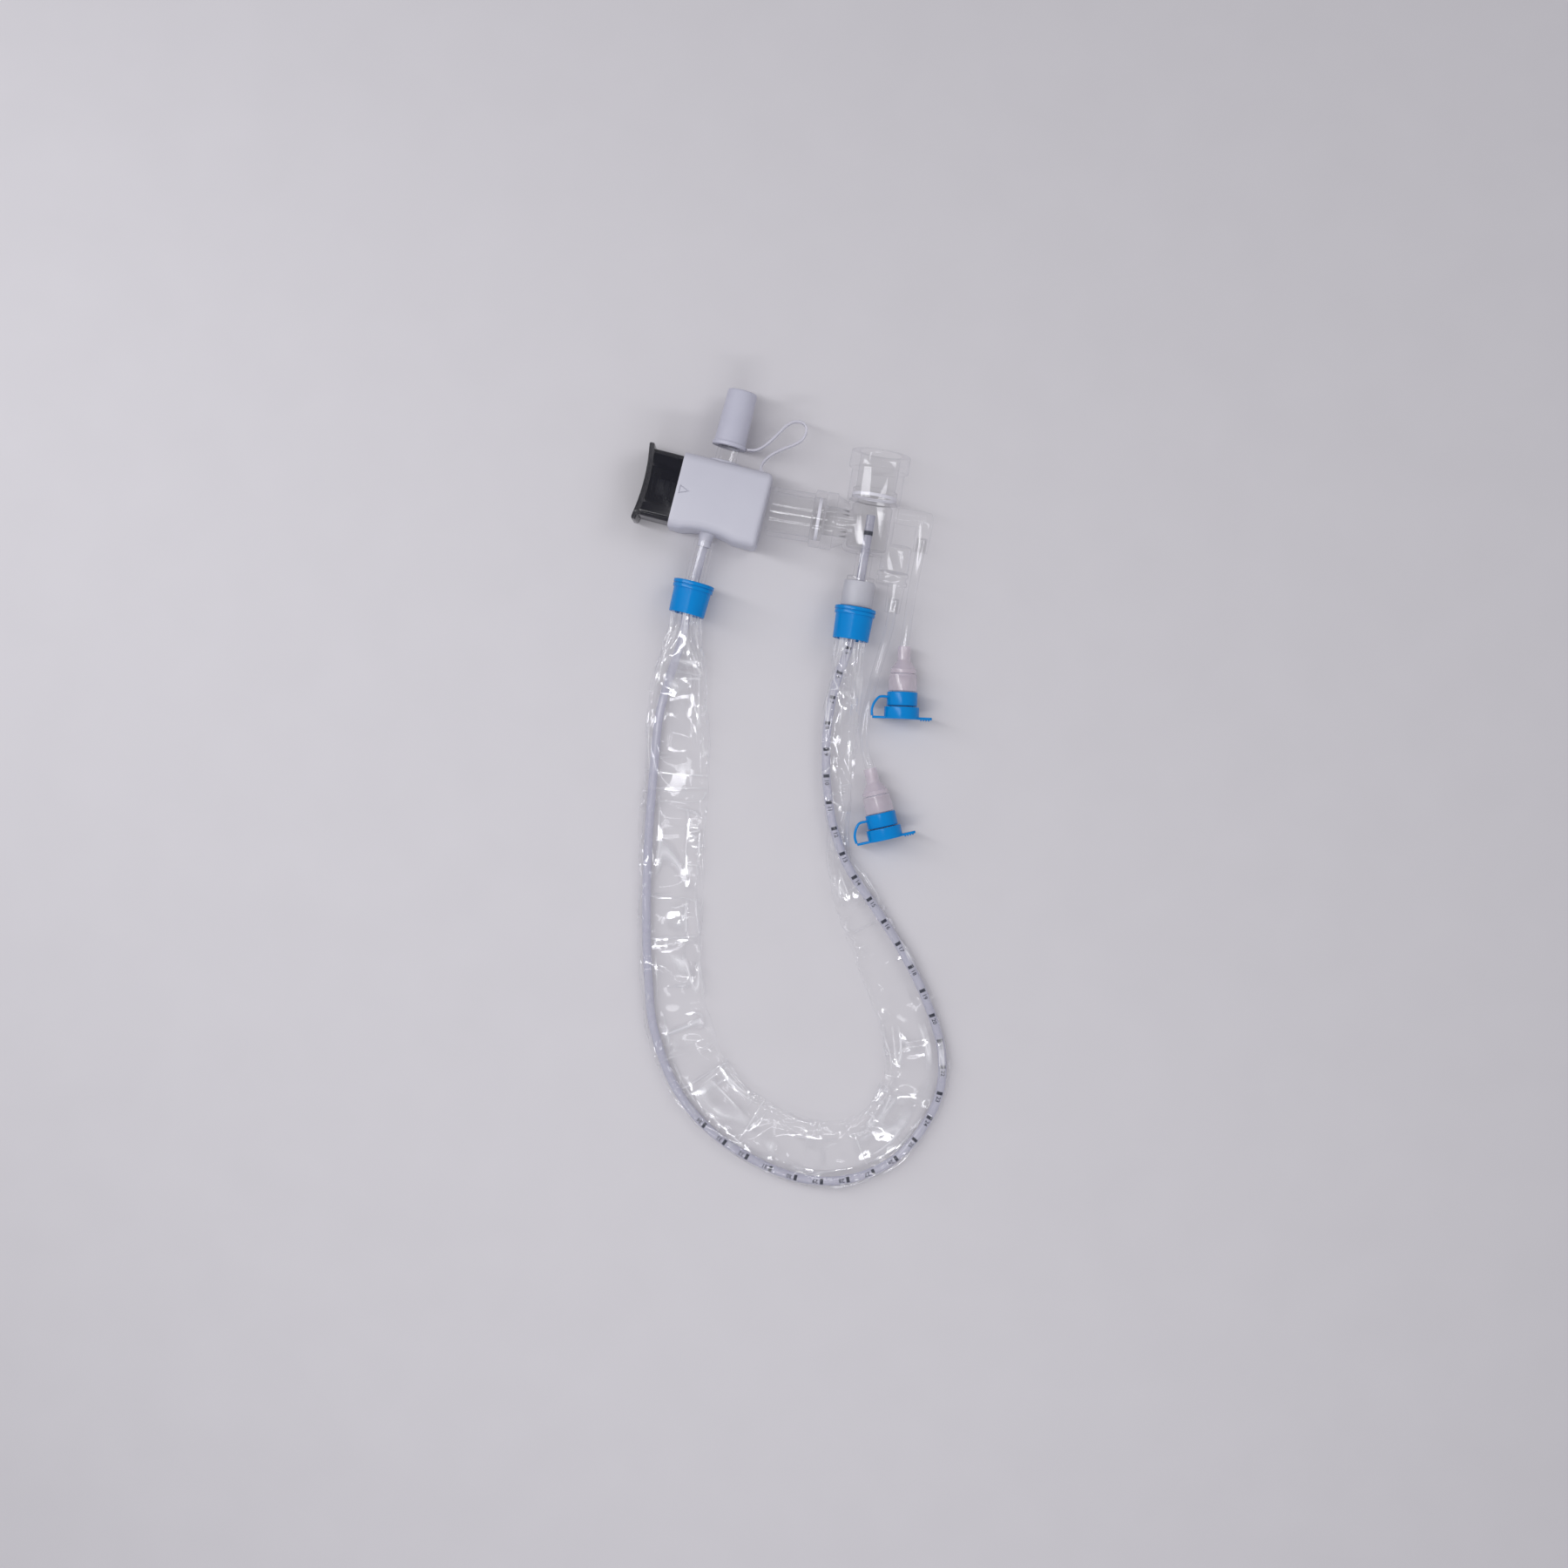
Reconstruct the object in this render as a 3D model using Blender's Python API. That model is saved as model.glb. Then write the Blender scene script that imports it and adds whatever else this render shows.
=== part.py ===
# Closed suction catheter, laid out flat: thumb valve, sleeved catheter, tee with two swivels and
# two flush lines with check valves. Lengths are in metres, and MM turns millimetres into metres.
# The origin is the centre of the valve housing's flat underside, and +Y points the way the
# patient port opens.
import math

import bmesh
import bpy
from mathutils import Matrix, Vector

MM = 0.001

# Clearances
GAP = 0.3 * MM
FLOOR_GAP = 0.1 * MM

# Catheter and flush tubes
CATHETER_RADIUS = 1.665 * MM
FLUSH_TUBE_RADIUS = 1.68 * MM

# Valve housing
VALVE_TURN = math.radians(-4.8)
HOUSING_LENGTH = 33.6 * MM
HOUSING_WIDTH = 28.3 * MM
HOUSING_HEIGHT = 20.0 * MM
HOUSING_CORNER = 3.2 * MM
HOUSING_WALL = 1.0 * MM
HOUSING_END_WALL = 1.5 * MM
HOUSING_END_ROUND = 1.6 * MM
SIDE_WALL = 1.25 * MM
STUB_FROM_MOUTH = 14.6 * MM
ARCH_LENGTH = 20.0 * MM
ARCH_DEPTH = 1.6 * MM
INDEX_SIZE = 3.6 * MM
INDEX_DEPTH = 0.3 * MM
INDEX_FROM_MOUTH = 1.6 * MM

# Thumb button
BUTTON_TRAVEL = 6.0 * MM
SKIRT_OUTSIDE = 11.0 * MM
SKIRT_INSIDE = 1.5 * MM
SKIRT_WALL = 1.4 * MM
PAD_WIDTH = 29.4 * MM
PAD_HEIGHT = 19.0 * MM
PAD_CORNER = 3.0 * MM
PAD_THICKNESS = 1.9 * MM
PAD_DISH = 1.5 * MM
PAD_BEVEL = 1.1 * MM
WEB_THICKNESS = 1.2 * MM
WEB_LENGTH = 8.5 * MM
PISTON_BOSS_LENGTH = 2.6 * MM
PISTON_BOSS_WALL = 0.9 * MM

# Valve barrel, piston, seals and spring
BARREL_RADIUS = 6.0 * MM
BARREL_BORE_RADIUS = 4.3 * MM
BARREL_FROM_MOUTH = 1.8 * MM
VALVE_PORT_RADIUS = 2.8 * MM
LAND_LENGTH = 2.0 * MM
BLOCKING_LAND_LENGTH = 8.8 * MM
PISTON_ROD_RADIUS = 3.0 * MM
PISTON_WAIST_RADIUS = 2.2 * MM
SEAL_GROOVE_DEPTH = 1.4 * MM
SEAL_GROOVE_WIDTH = 1.7 * MM
SEAL_SECTION_RADIUS = 0.55 * MM
SPRING_WIRE_RADIUS = 0.35 * MM
SPRING_RADIUS = 4.9 * MM
SPRING_TURNS = 5

# Suction stub, its cap and the cap's tether
STUB_RADIUS = 4.1 * MM
STUB_LENGTH_OUTSIDE = 22.8 * MM
STUB_FLANGE_RADIUS = 5.4 * MM
STUB_FLANGE_THICKNESS = 1.2 * MM
SHOULDER_RADIUS = 6.2 * MM
SHOULDER_HEIGHT = 1.0 * MM
CAP_FROM_HOUSING = 6.6 * MM
CAP_LENGTH = 21.5 * MM
CAP_FLANGE_RADIUS = 6.5 * MM
CAP_FLANGE_THICKNESS = 1.4 * MM
CAP_RADIUS = 6.0 * MM
CAP_TOP_RADIUS = 5.6 * MM
CAP_END_WALL = 1.5 * MM
TETHER_WIDTH = 3.2 * MM
TETHER_THICKNESS = 0.9 * MM
TETHER_FOOT_LENGTH = 4.4 * MM

# Neck, adapter and sleeve rings
NECK_ROOT_RADIUS = 3.0 * MM
NECK_RADIUS = 2.4 * MM
NECK_CONE_LENGTH = 2.6 * MM
NECK_TIP_LENGTH = 2.6 * MM
ADAPTER_RADIUS = 3.9 * MM
ADAPTER_VISIBLE_LENGTH = 16.1 * MM
SPIGOT_RADIUS = 5.3 * MM
SPIGOT_LENGTH = 6.6 * MM
RING_LENGTH = 12.2 * MM
RING_FLANGE_RADIUS = 7.75 * MM
RING_FLANGE_LENGTH = 2.9 * MM
RING_STEP = 0.25 * MM
RING_RADIUS = 7.15 * MM
RING_END_RADIUS = 6.75 * MM
RING_BORE_RADIUS = 6.2 * MM
RING_LIP_LENGTH = 1.4 * MM

# Sleeve
SLEEVE_WALL = 0.3 * MM
SLEEVE_TUCK = 7.0 * MM
SLEEVE_SIDES = 18
SLEEVE_SPACING = 10.0 * MM

# Tee, arms and ports
TEE_X = 56.3 * MM
TEE_Y = -0.2 * MM
TEE_RADIUS = 9.2 * MM
TEE_WALL = 1.6 * MM
TEE_BELOW = 10.0 * MM
TEE_ABOVE = 9.3 * MM
TEE_END_ROUND = 2.4 * MM
JOURNAL_LENGTH = 4.4 * MM
PATIENT_JOURNAL_RADIUS = 8.1 * MM
VENTILATOR_JOURNAL_RADIUS = 7.7 * MM
JOURNAL_WALL = 1.5 * MM
PATIENT_LENGTH = 18.4 * MM
PATIENT_RADIUS = 10.0 * MM
PATIENT_RIM_RADIUS = 11.2 * MM
PATIENT_RIM_LENGTH = 6.8 * MM
PORT_BORE_RADIUS = 7.6 * MM
ARM_CONE_START = 8.0 * MM
ARM_CONE_END = 13.1 * MM
ARM_COLLAR_LENGTH = 4.0 * MM
COLLAR_RADIUS = 10.7 * MM
VENTILATOR_RADIUS = 9.2 * MM
VENTILATOR_COLLAR_LENGTH = 4.0 * MM
VENTILATOR_LENGTH = 20.3 * MM
SWIVEL_SEAL_RADIUS = 0.6 * MM
SWIVEL_GROOVE_WIDTH = 1.8 * MM
SWIVEL_GROOVE_DEPTH = 1.5 * MM
CATHETER_PORT_RADIUS = 3.2 * MM
CATHETER_PORT_END = 20.4 * MM
CATHETER_FLANGE_RADIUS = 5.2 * MM
CATHETER_FLANGE_THICKNESS = 1.6 * MM
TIP_ABOVE_CENTRE = 4.6 * MM

# Seal housing and wiper seal
SEAL_HOUSING_RADIUS = 5.9 * MM
SEAL_HOUSING_LENGTH = 9.4 * MM
SEAL_SPIGOT_LENGTH = 4.6 * MM
WIPER_RADIUS = 4.3 * MM
WIPER_LENGTH = 4.8 * MM
WIPER_DISH = 1.2 * MM

# Flush elbow on the tee's right side
ELBOW_ABOVE = 6.1 * MM
ELBOW_RADIUS = 3.2 * MM
ELBOW_REACH = 20.2 * MM
ELBOW_DROP = 12.2 * MM
ELBOW_BOSS_RADIUS = 2.95 * MM
ELBOW_BOSS_END = 9.7 * MM
ELBOW_PLUG_RADIUS = 2.1 * MM
ELBOW_PLUG_LENGTH = 1.2 * MM
ELBOW_WAY_RADIUS = 1.3 * MM
TUBE_SOCKET_DEPTH = 5.0 * MM

# Second flush fitting, beside the catheter port
FITTING_X = 11.6 * MM
FITTING_BOSS_RADIUS = 5.5 * MM
FITTING_BOSS_TOP = 5.0 * MM
FITTING_BOSS_END = 15.0 * MM
FITTING_WALL = 1.2 * MM
FITTING_RIM_RADIUS = 5.9 * MM
FITTING_LENGTH = 4.6 * MM
FITTING_RIM_THICKNESS = 1.5 * MM
FITTING_PLUG_LENGTH = 3.0 * MM
FITTING_SOCKET_SHIFT = 2.0 * MM
FITTING_SOCKET_RADIUS = 3.3 * MM
FITTING_SOCKET_END_RADIUS = 2.8 * MM
FITTING_SOCKET_LENGTH = 10.2 * MM

# Check valves, measured from the end of the stem
STEM_RADIUS = 2.45 * MM
STEM_LENGTH = 5.3 * MM
CONE_LENGTH = 3.3 * MM
OUTLET_FLANGE_RADIUS = 4.9 * MM
OUTLET_FLANGE_LENGTH = 1.6 * MM
INLET_RADIUS = 5.1 * MM
INLET_END_RADIUS = 5.45 * MM
INLET_LENGTH = 6.4 * MM
LUER_RADIUS = 3.9 * MM
LUER_BORE_RADIUS = 2.15 * MM
LUER_LENGTH = 9.2 * MM
DISC_RADIUS = 3.5 * MM
DISC_THICKNESS = 0.8 * MM

# Blue collar, strap and lid of each flush port
FLUSH_COLLAR_RADIUS = 5.75 * MM
FLUSH_COLLAR_LENGTH = 5.3 * MM
LID_RADIUS = 6.6 * MM
LID_WALL = 1.0 * MM
LID_LENGTH = 4.6 * MM
LID_PLATE = 1.0 * MM
LID_PLUG_RADIUS = 1.75 * MM
LID_PLUG_LENGTH = 2.0 * MM
LID_TAB_REACH = 11.4 * MM
LID_TAB_WIDTH = 5.0 * MM
HINGE_REACH = 11.0 * MM
STRAP_BULGE = 0.3 * MM
STRAP_WIDTH = 4.0 * MM
STRAP_THICKNESS = 0.9 * MM

# Check valves: where each stem starts and the heading of its axis
CHECK_VALVES = (
    ((76.8 * MM, -41.5 * MM), math.radians(-82.9)),
    ((71.6 * MM, -88.9 * MM), math.radians(-67.8)),
)

# Faces round a turned piece
ROUND_SIDES = 28
SMALL_SIDES = 20

# Route of the catheter between the two sleeve rings, in millimetres
CATHETER_ROUTE = (
    (-5.9, -50.5, 8.4), (-7.3, -60.0, 5.4), (-9.2, -72.4, 3.5), (-10.0, -84.0, 3.3),
    (-8.8, -101.6, 3.3), (-6.2, -130.2, 3.3), (-2.2, -158.4, 3.3), (2.3, -180.8, 3.3),
    (7.9, -200.3, 3.3), (20.6, -221.4, 3.3), (39.6, -236.3, 3.3), (66.0, -245.2, 3.3),
    (88.0, -243.5, 3.4), (106.3, -231.6, 3.4), (117.0, -210.2, 3.3), (116.3, -190.8, 3.4),
    (107.2, -171.8, 3.5), (95.4, -155.2, 3.6), (82.0, -140.1, 3.9), (69.4, -126.4, 4.3),
    (61.4, -112.0, 4.6), (56.8, -98.1, 4.8), (54.7, -87.7, 4.9), (53.4, -77.7, 5.0),
    (53.2, -67.9, 5.4), (53.9, -58.0, 7.0), (55.5, -49.6, 9.8),
)

# Sleeve between the rings, in millimetres: centre x, y and z, half width and half height
SLEEVE_ROUTE = (
    (-5.6, -48.0, 9.4, 6.6, 5.6), (-5.6, -56.0, 7.2, 8.6, 5.3), (-4.6, -68.0, 5.0, 11.2, 4.4),
    (-2.6, -84.0, 3.8, 12.6, 3.5), (-0.4, -101.6, 3.55, 12.8, 3.4), (2.6, -130.2, 3.55, 13.0, 3.4),
    (7.0, -158.4, 3.55, 13.2, 3.4), (11.0, -179.0, 3.55, 13.0, 3.4), (16.4, -196.4, 3.55, 12.6, 3.4),
    (27.6, -214.4, 3.55, 12.6, 3.4), (44.4, -227.6, 3.55, 12.6, 3.4), (66.2, -235.0, 3.55, 12.8, 3.4),
    (84.6, -234.4, 3.55, 12.8, 3.4), (99.4, -225.2, 3.55, 12.8, 3.4), (107.2, -208.4, 3.55, 12.8, 3.4),
    (107.2, -194.0, 3.55, 12.6, 3.4), (100.6, -177.6, 3.55, 11.8, 3.4), (90.6, -161.6, 3.8, 10.6, 3.6),
    (78.6, -144.6, 4.2, 9.2, 4.0), (67.7, -127.4, 4.7, 6.6, 4.5), (63.6, -115.0, 5.2, 4.7, 5.0),
    (61.2, -101.0, 5.6, 6.3, 5.3), (59.4, -86.0, 5.7, 7.4, 5.5), (58.0, -72.0, 5.9, 7.6, 5.5),
    (57.2, -60.0, 7.2, 7.0, 5.5), (56.5, -50.0, 9.8, 6.4, 5.7),
)

# Route of each flush tube between its socket and its check valve, in millimetres
FLUSH_ROUTES = (
    ((76.4, -12.0, 10.9), (76.2, -18.4, 10.0), (76.3, -26.0, 8.5), (76.5, -33.0, 7.3)),
    ((69.9, -35.0, 10.0), (69.4, -41.0, 8.2), (68.5, -48.5, 5.4), (67.7, -56.0, 2.9),
     (67.2, -64.0, 1.9), (67.1, -71.0, 1.9), (67.7, -77.5, 2.7), (69.0, -83.2, 4.9)),
)

# Centre line of the cap's tether, in millimetres
TETHER_ROUTE = (
    (9.4, 21.4), (12.0, 23.0), (14.6, 25.8), (17.0, 29.0), (19.4, 32.3), (22.1, 34.3),
    (25.0, 34.6), (26.8, 33.2), (27.1, 30.6), (26.0, 28.0), (23.5, 25.9), (20.3, 24.0),
    (16.8, 21.6), (14.4, 19.2), (12.8, 16.4),
)


def clear_scene():
    for thing in list(bpy.data.objects):
        bpy.data.objects.remove(thing, do_unlink=True)


def make_paint(name, colour, roughness, metallic=0.0, alpha=1.0):
    paint = bpy.data.materials.new(name)
    paint.use_nodes = True
    shader = paint.node_tree.nodes["Principled BSDF"]
    shader.inputs["Base Color"].default_value = (*colour, 1.0)
    shader.inputs["Roughness"].default_value = roughness
    shader.inputs["Metallic"].default_value = metallic
    shader.inputs["Alpha"].default_value = alpha
    return paint


def white_abs(name):
    return make_paint(name, (0.70, 0.70, 0.76), 0.45)


def smoke_plastic(name):
    return make_paint(name, (0.03, 0.035, 0.04), 0.25)


def clear_plastic(name):
    return make_paint(name, (0.80, 0.81, 0.84), 0.12, alpha=0.35)


def frosted_plastic(name):
    return make_paint(name, (0.74, 0.75, 0.78), 0.50)


def soft_white(name):
    return make_paint(name, (0.76, 0.76, 0.82), 0.50)


def blue_plastic(name):
    return make_paint(name, (0.0, 0.22, 0.68), 0.35)


def silicone(name):
    return make_paint(name, (0.70, 0.72, 0.74), 0.60)


def spring_steel(name):
    return make_paint(name, (0.55, 0.55, 0.57), 0.30, metallic=1.0)


def add_object(name, mesh, paint, frame=None, place=(0.0, 0.0, 0.0), turn=0.0):
    mesh.shade_smooth()
    mesh.set_sharp_from_angle(angle=math.radians(35))
    if paint:
        mesh.materials.append(paint)
    thing = bpy.data.objects.new(name, mesh)
    bpy.context.scene.collection.objects.link(thing)
    thing.parent = frame
    thing.location = place
    thing.rotation_euler.z = turn
    return thing


def add_frame(name, place, turn=0.0):
    frame = bpy.data.objects.new(name, None)
    bpy.context.scene.collection.objects.link(frame)
    frame.location = place
    frame.rotation_euler.z = turn
    return frame


def finish_mesh(form, name):
    bmesh.ops.recalc_face_normals(form, faces=form.faces)
    mesh = bpy.data.meshes.new(name)
    form.to_mesh(mesh)
    form.free()
    return mesh


def turned_mesh(name, outline, sides=ROUND_SIDES):
    # The outline is a closed loop of (distance along X, radius), turned about X.
    form = bmesh.new()
    points = [form.verts.new((along, 0.0, radius)) for along, radius in outline]
    edges = []
    for start, end in zip(points, points[1:] + points[:1]):
        if start.co.z > 0.0 or end.co.z > 0.0:
            edges.append(form.edges.new((start, end)))
    bmesh.ops.spin(form, geom=points + edges, cent=(0, 0, 0), axis=(1, 0, 0),
                   angle=2 * math.pi, steps=sides, use_merge=True)
    bmesh.ops.remove_doubles(form, verts=form.verts, dist=0.001 * MM)
    return finish_mesh(form, name)


def loft_mesh(name, rings, wrap=False):
    # Joins equal rings of points side by side; wrap joins the last ring to the first.
    form = bmesh.new()
    rows = [[form.verts.new(point) for point in ring] for ring in rings]
    count = len(rows[0])
    pairs = list(zip(rows, rows[1:]))
    if wrap:
        pairs.append((rows[-1], rows[0]))
    for near, far in pairs:
        for k in range(count):
            n = (k + 1) % count
            form.faces.new((near[k], near[n], far[n], far[k]))
    if not wrap:
        form.faces.new(rows[0])
        form.faces.new(rows[-1])
    return finish_mesh(form, name)


def rounded_section(width, height, corner, steps=4):
    # Points of a rectangle with round corners, as (across, up).
    points = []
    corners = ((1, 1, 0), (-1, 1, 90), (-1, -1, 180), (1, -1, 270))
    for side, level, start in corners:
        for step in range(steps + 1):
            angle = math.radians(start + 90 * step / steps)
            points.append((side * (width / 2 - corner) + corner * math.cos(angle),
                           level * (height / 2 - corner) + corner * math.sin(angle)))
    return points


def prism_mesh(name, start, end, width, height, corner, end_round=0.0):
    # A bar along X with round long edges, and a rounded rim at its far end.
    def ring(along, inset):
        section = rounded_section(width - 2 * inset, height - 2 * inset, corner - inset)
        return [(along, across, up) for across, up in section]

    rings = [ring(start, 0.0)]
    if end_round:
        for angle in (0, 30, 60, 90):
            turn = math.radians(angle)
            rings.append(ring(end - end_round * (1 - math.sin(turn)),
                              end_round * (1 - math.cos(turn))))
    else:
        rings.append(ring(end, 0.0))
    return loft_mesh(name, rings)


def add_guide(name, mesh, frame=None, place=(0.0, 0.0, 0.0), turn=0.0):
    # A helper that cuts or joins another piece and isn't a piece itself.
    guide = add_object(name, mesh, None, frame, place, turn)
    guide.hide_render = True
    guide.display_type = "WIRE"
    return guide


def combine(thing, operation, guides):
    for guide in guides:
        step = thing.modifiers.new(guide.name, "BOOLEAN")
        step.operation = operation
        step.solver = "EXACT"
        step.object = guide
    return thing


def bar_outline(start, end, radius, end_radius=None):
    if end_radius is None:
        end_radius = radius
    return [(start, 0.0), (start, radius), (end, end_radius), (end, 0.0)]


def tube_outline(start, end, radius, bore):
    return [(start, bore), (start, radius), (end, radius), (end, bore)]


def seal_mesh(name, along, radius, section, count=10):
    outline = []
    for step in range(count):
        angle = 2 * math.pi * step / count
        outline.append((along + section * math.cos(angle), radius + section * math.sin(angle)))
    return turned_mesh(name, outline)


def smooth_points(route, spacing):
    # Evenly spaced points of a smooth curve through the route's own points.
    points = [Vector(point) for point in route]
    points = [2 * points[0] - points[1]] + points + [2 * points[-1] - points[-2]]
    fine = []
    for a, b, c, d in zip(points, points[1:], points[2:], points[3:]):
        for step in range(24):
            t = step / 24
            fine.append(0.5 * (2 * b + (c - a) * t + (2 * a - 5 * b + 4 * c - d) * t ** 2
                               + (3 * b - a - 3 * c + d) * t ** 3))
    fine.append(points[-2])
    lengths = [0.0]
    for near, far in zip(fine, fine[1:]):
        lengths.append(lengths[-1] + (Vector(far[:3]) - Vector(near[:3])).length)
    count = max(2, round(lengths[-1] / spacing))
    even = []
    place = 0
    for step in range(count + 1):
        goal = lengths[-1] * step / count
        while place < len(lengths) - 2 and lengths[place + 1] < goal:
            place += 1
        share = (goal - lengths[place]) / (lengths[place + 1] - lengths[place])
        even.append(fine[place].lerp(fine[place + 1], min(1.0, share)))
    return even


def add_tube(name, points, radius, paint):
    line = bpy.data.curves.new(name, "CURVE")
    line.dimensions = "3D"
    line.bevel_depth = radius
    line.bevel_resolution = 2
    line.use_fill_caps = True
    spline = line.splines.new("POLY")
    spline.points.add(len(points) - 1)
    for knot, point in zip(spline.points, points):
        knot.co = (*point, 1.0)
    line.materials.append(paint)
    thing = bpy.data.objects.new(name, line)
    bpy.context.scene.collection.objects.link(thing)
    return thing


# Places along the valve, measured in its own frame: X along the button's stroke, towards the
# closed end, and -Y towards the catheter.
VALVE_PLACE = Vector((0.0, 0.0, HOUSING_HEIGHT / 2))
MOUTH_X = -HOUSING_LENGTH / 2
STUB_X = MOUTH_X + STUB_FROM_MOUTH
HALF_WIDTH = HOUSING_WIDTH / 2
REAR_HALF = HALF_WIDTH - ARCH_DEPTH - SIDE_WALL
PAD_BACK_X = MOUTH_X - SKIRT_OUTSIDE + 0.5 * MM
BARREL_END_X = HOUSING_LENGTH / 2 - HOUSING_END_WALL - GAP
BARREL_START_X = MOUTH_X + BARREL_FROM_MOUTH
NECK_ROOT_Y = HALF_WIDTH - ARCH_DEPTH
ADAPTER_Y = NECK_ROOT_Y + NECK_CONE_LENGTH + GAP
NECK_END_Y = ADAPTER_Y - GAP + NECK_TIP_LENGTH
VALVE_RING_Y = ADAPTER_Y + ADAPTER_VISIBLE_LENGTH
CAP_Y = HALF_WIDTH + CAP_FROM_HOUSING

# Places along the tee, measured from the point where its axes cross
TEE_PLACE = Vector((TEE_X, TEE_Y, PATIENT_RIM_RADIUS + FLOOR_GAP))
PATIENT_START = TEE_ABOVE + GAP
ARM_COLLAR_END = ARM_CONE_END + ARM_COLLAR_LENGTH
VENTILATOR_START = ARM_COLLAR_END + GAP
SEAL_HOUSING_START = CATHETER_PORT_END + GAP
TEE_RING_START = SEAL_HOUSING_START + SEAL_HOUSING_LENGTH + GAP
FITTING_START = FITTING_BOSS_END + GAP
FITTING_END = FITTING_START + FITTING_LENGTH
FITTING_SOCKET_X = FITTING_X + FITTING_SOCKET_SHIFT


def in_valve(x, y, z=0.0):
    return VALVE_PLACE + Matrix.Rotation(VALVE_TURN, 3, "Z") @ Vector((x, y, z))


def in_tee(x, y, z=0.0):
    return TEE_PLACE + Vector((x, y, z))


def add_housing(frame):
    body = add_object("valve_housing", prism_mesh(
        "valve_housing", MOUTH_X, HOUSING_LENGTH / 2, HOUSING_WIDTH, HOUSING_HEIGHT,
        HOUSING_CORNER, HOUSING_END_ROUND), white_abs("housing_white"), frame)
    arch_radius = ((ARCH_LENGTH / 2) ** 2 + ARCH_DEPTH ** 2) / (2 * ARCH_DEPTH)
    form = bmesh.new()
    bmesh.ops.create_cone(form, cap_ends=True, segments=96, radius1=arch_radius,
                          radius2=arch_radius, depth=HOUSING_HEIGHT + 2 * MM)
    arch = add_guide("arch_cutter", finish_mesh(form, "arch_cutter"), frame,
                     (STUB_X, -NECK_ROOT_Y - arch_radius, 0.0))
    neck = add_guide("neck_guide", turned_mesh("neck_guide", [
        (REAR_HALF + GAP, 0.0), (REAR_HALF + GAP, NECK_ROOT_RADIUS),
        (NECK_ROOT_Y, NECK_ROOT_RADIUS), (NECK_ROOT_Y + NECK_CONE_LENGTH, NECK_RADIUS),
        (NECK_END_Y, NECK_RADIUS), (NECK_END_Y, 0.0)], SMALL_SIDES), frame,
        (STUB_X, 0.0, 0.0), math.radians(-90))
    shoulder = add_guide("shoulder_guide", turned_mesh("shoulder_guide", bar_outline(
        HALF_WIDTH - SIDE_WALL / 2, HALF_WIDTH + SHOULDER_HEIGHT, SHOULDER_RADIUS)), frame,
        (STUB_X, 0.0, 0.0), math.radians(90))
    front = add_guide("front_chamber", prism_mesh(
        "front_chamber", MOUTH_X - MM, MOUTH_X + SKIRT_INSIDE + BUTTON_TRAVEL + 0.7 * MM,
        HOUSING_WIDTH - 2 * SIDE_WALL, HOUSING_HEIGHT - 2 * HOUSING_WALL,
        HOUSING_CORNER - HOUSING_WALL), frame)
    rear = add_guide("rear_chamber", prism_mesh(
        "rear_chamber", MOUTH_X, HOUSING_LENGTH / 2 - HOUSING_END_WALL, 2 * REAR_HALF,
        HOUSING_HEIGHT - 2 * HOUSING_WALL, HOUSING_CORNER - HOUSING_WALL), frame)
    stub_hole = add_guide("stub_hole", turned_mesh("stub_hole", bar_outline(
        REAR_HALF - MM, HALF_WIDTH + SHOULDER_HEIGHT + MM, STUB_RADIUS + GAP)), frame,
        (STUB_X, 0.0, 0.0), math.radians(90))
    neck_bore = add_guide("neck_bore", turned_mesh("neck_bore", bar_outline(
        REAR_HALF - MM, NECK_END_Y + MM, CATHETER_RADIUS + GAP), SMALL_SIDES), frame,
        (STUB_X, 0.0, 0.0), math.radians(-90))
    form = bmesh.new()
    bmesh.ops.create_cone(form, cap_ends=True, segments=3, radius1=INDEX_SIZE / 2,
                          radius2=INDEX_SIZE / 2, depth=2 * INDEX_DEPTH)
    index = add_guide("index_cutter", finish_mesh(form, "index_cutter"), frame,
                      (MOUTH_X + INDEX_FROM_MOUTH + INDEX_SIZE / 2, 0.0, HOUSING_HEIGHT / 2),
                      math.radians(-90))
    combine(body, "DIFFERENCE", [arch])
    combine(body, "UNION", [neck, shoulder])
    combine(body, "DIFFERENCE", [front, rear, stub_hole, neck_bore, index])


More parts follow.
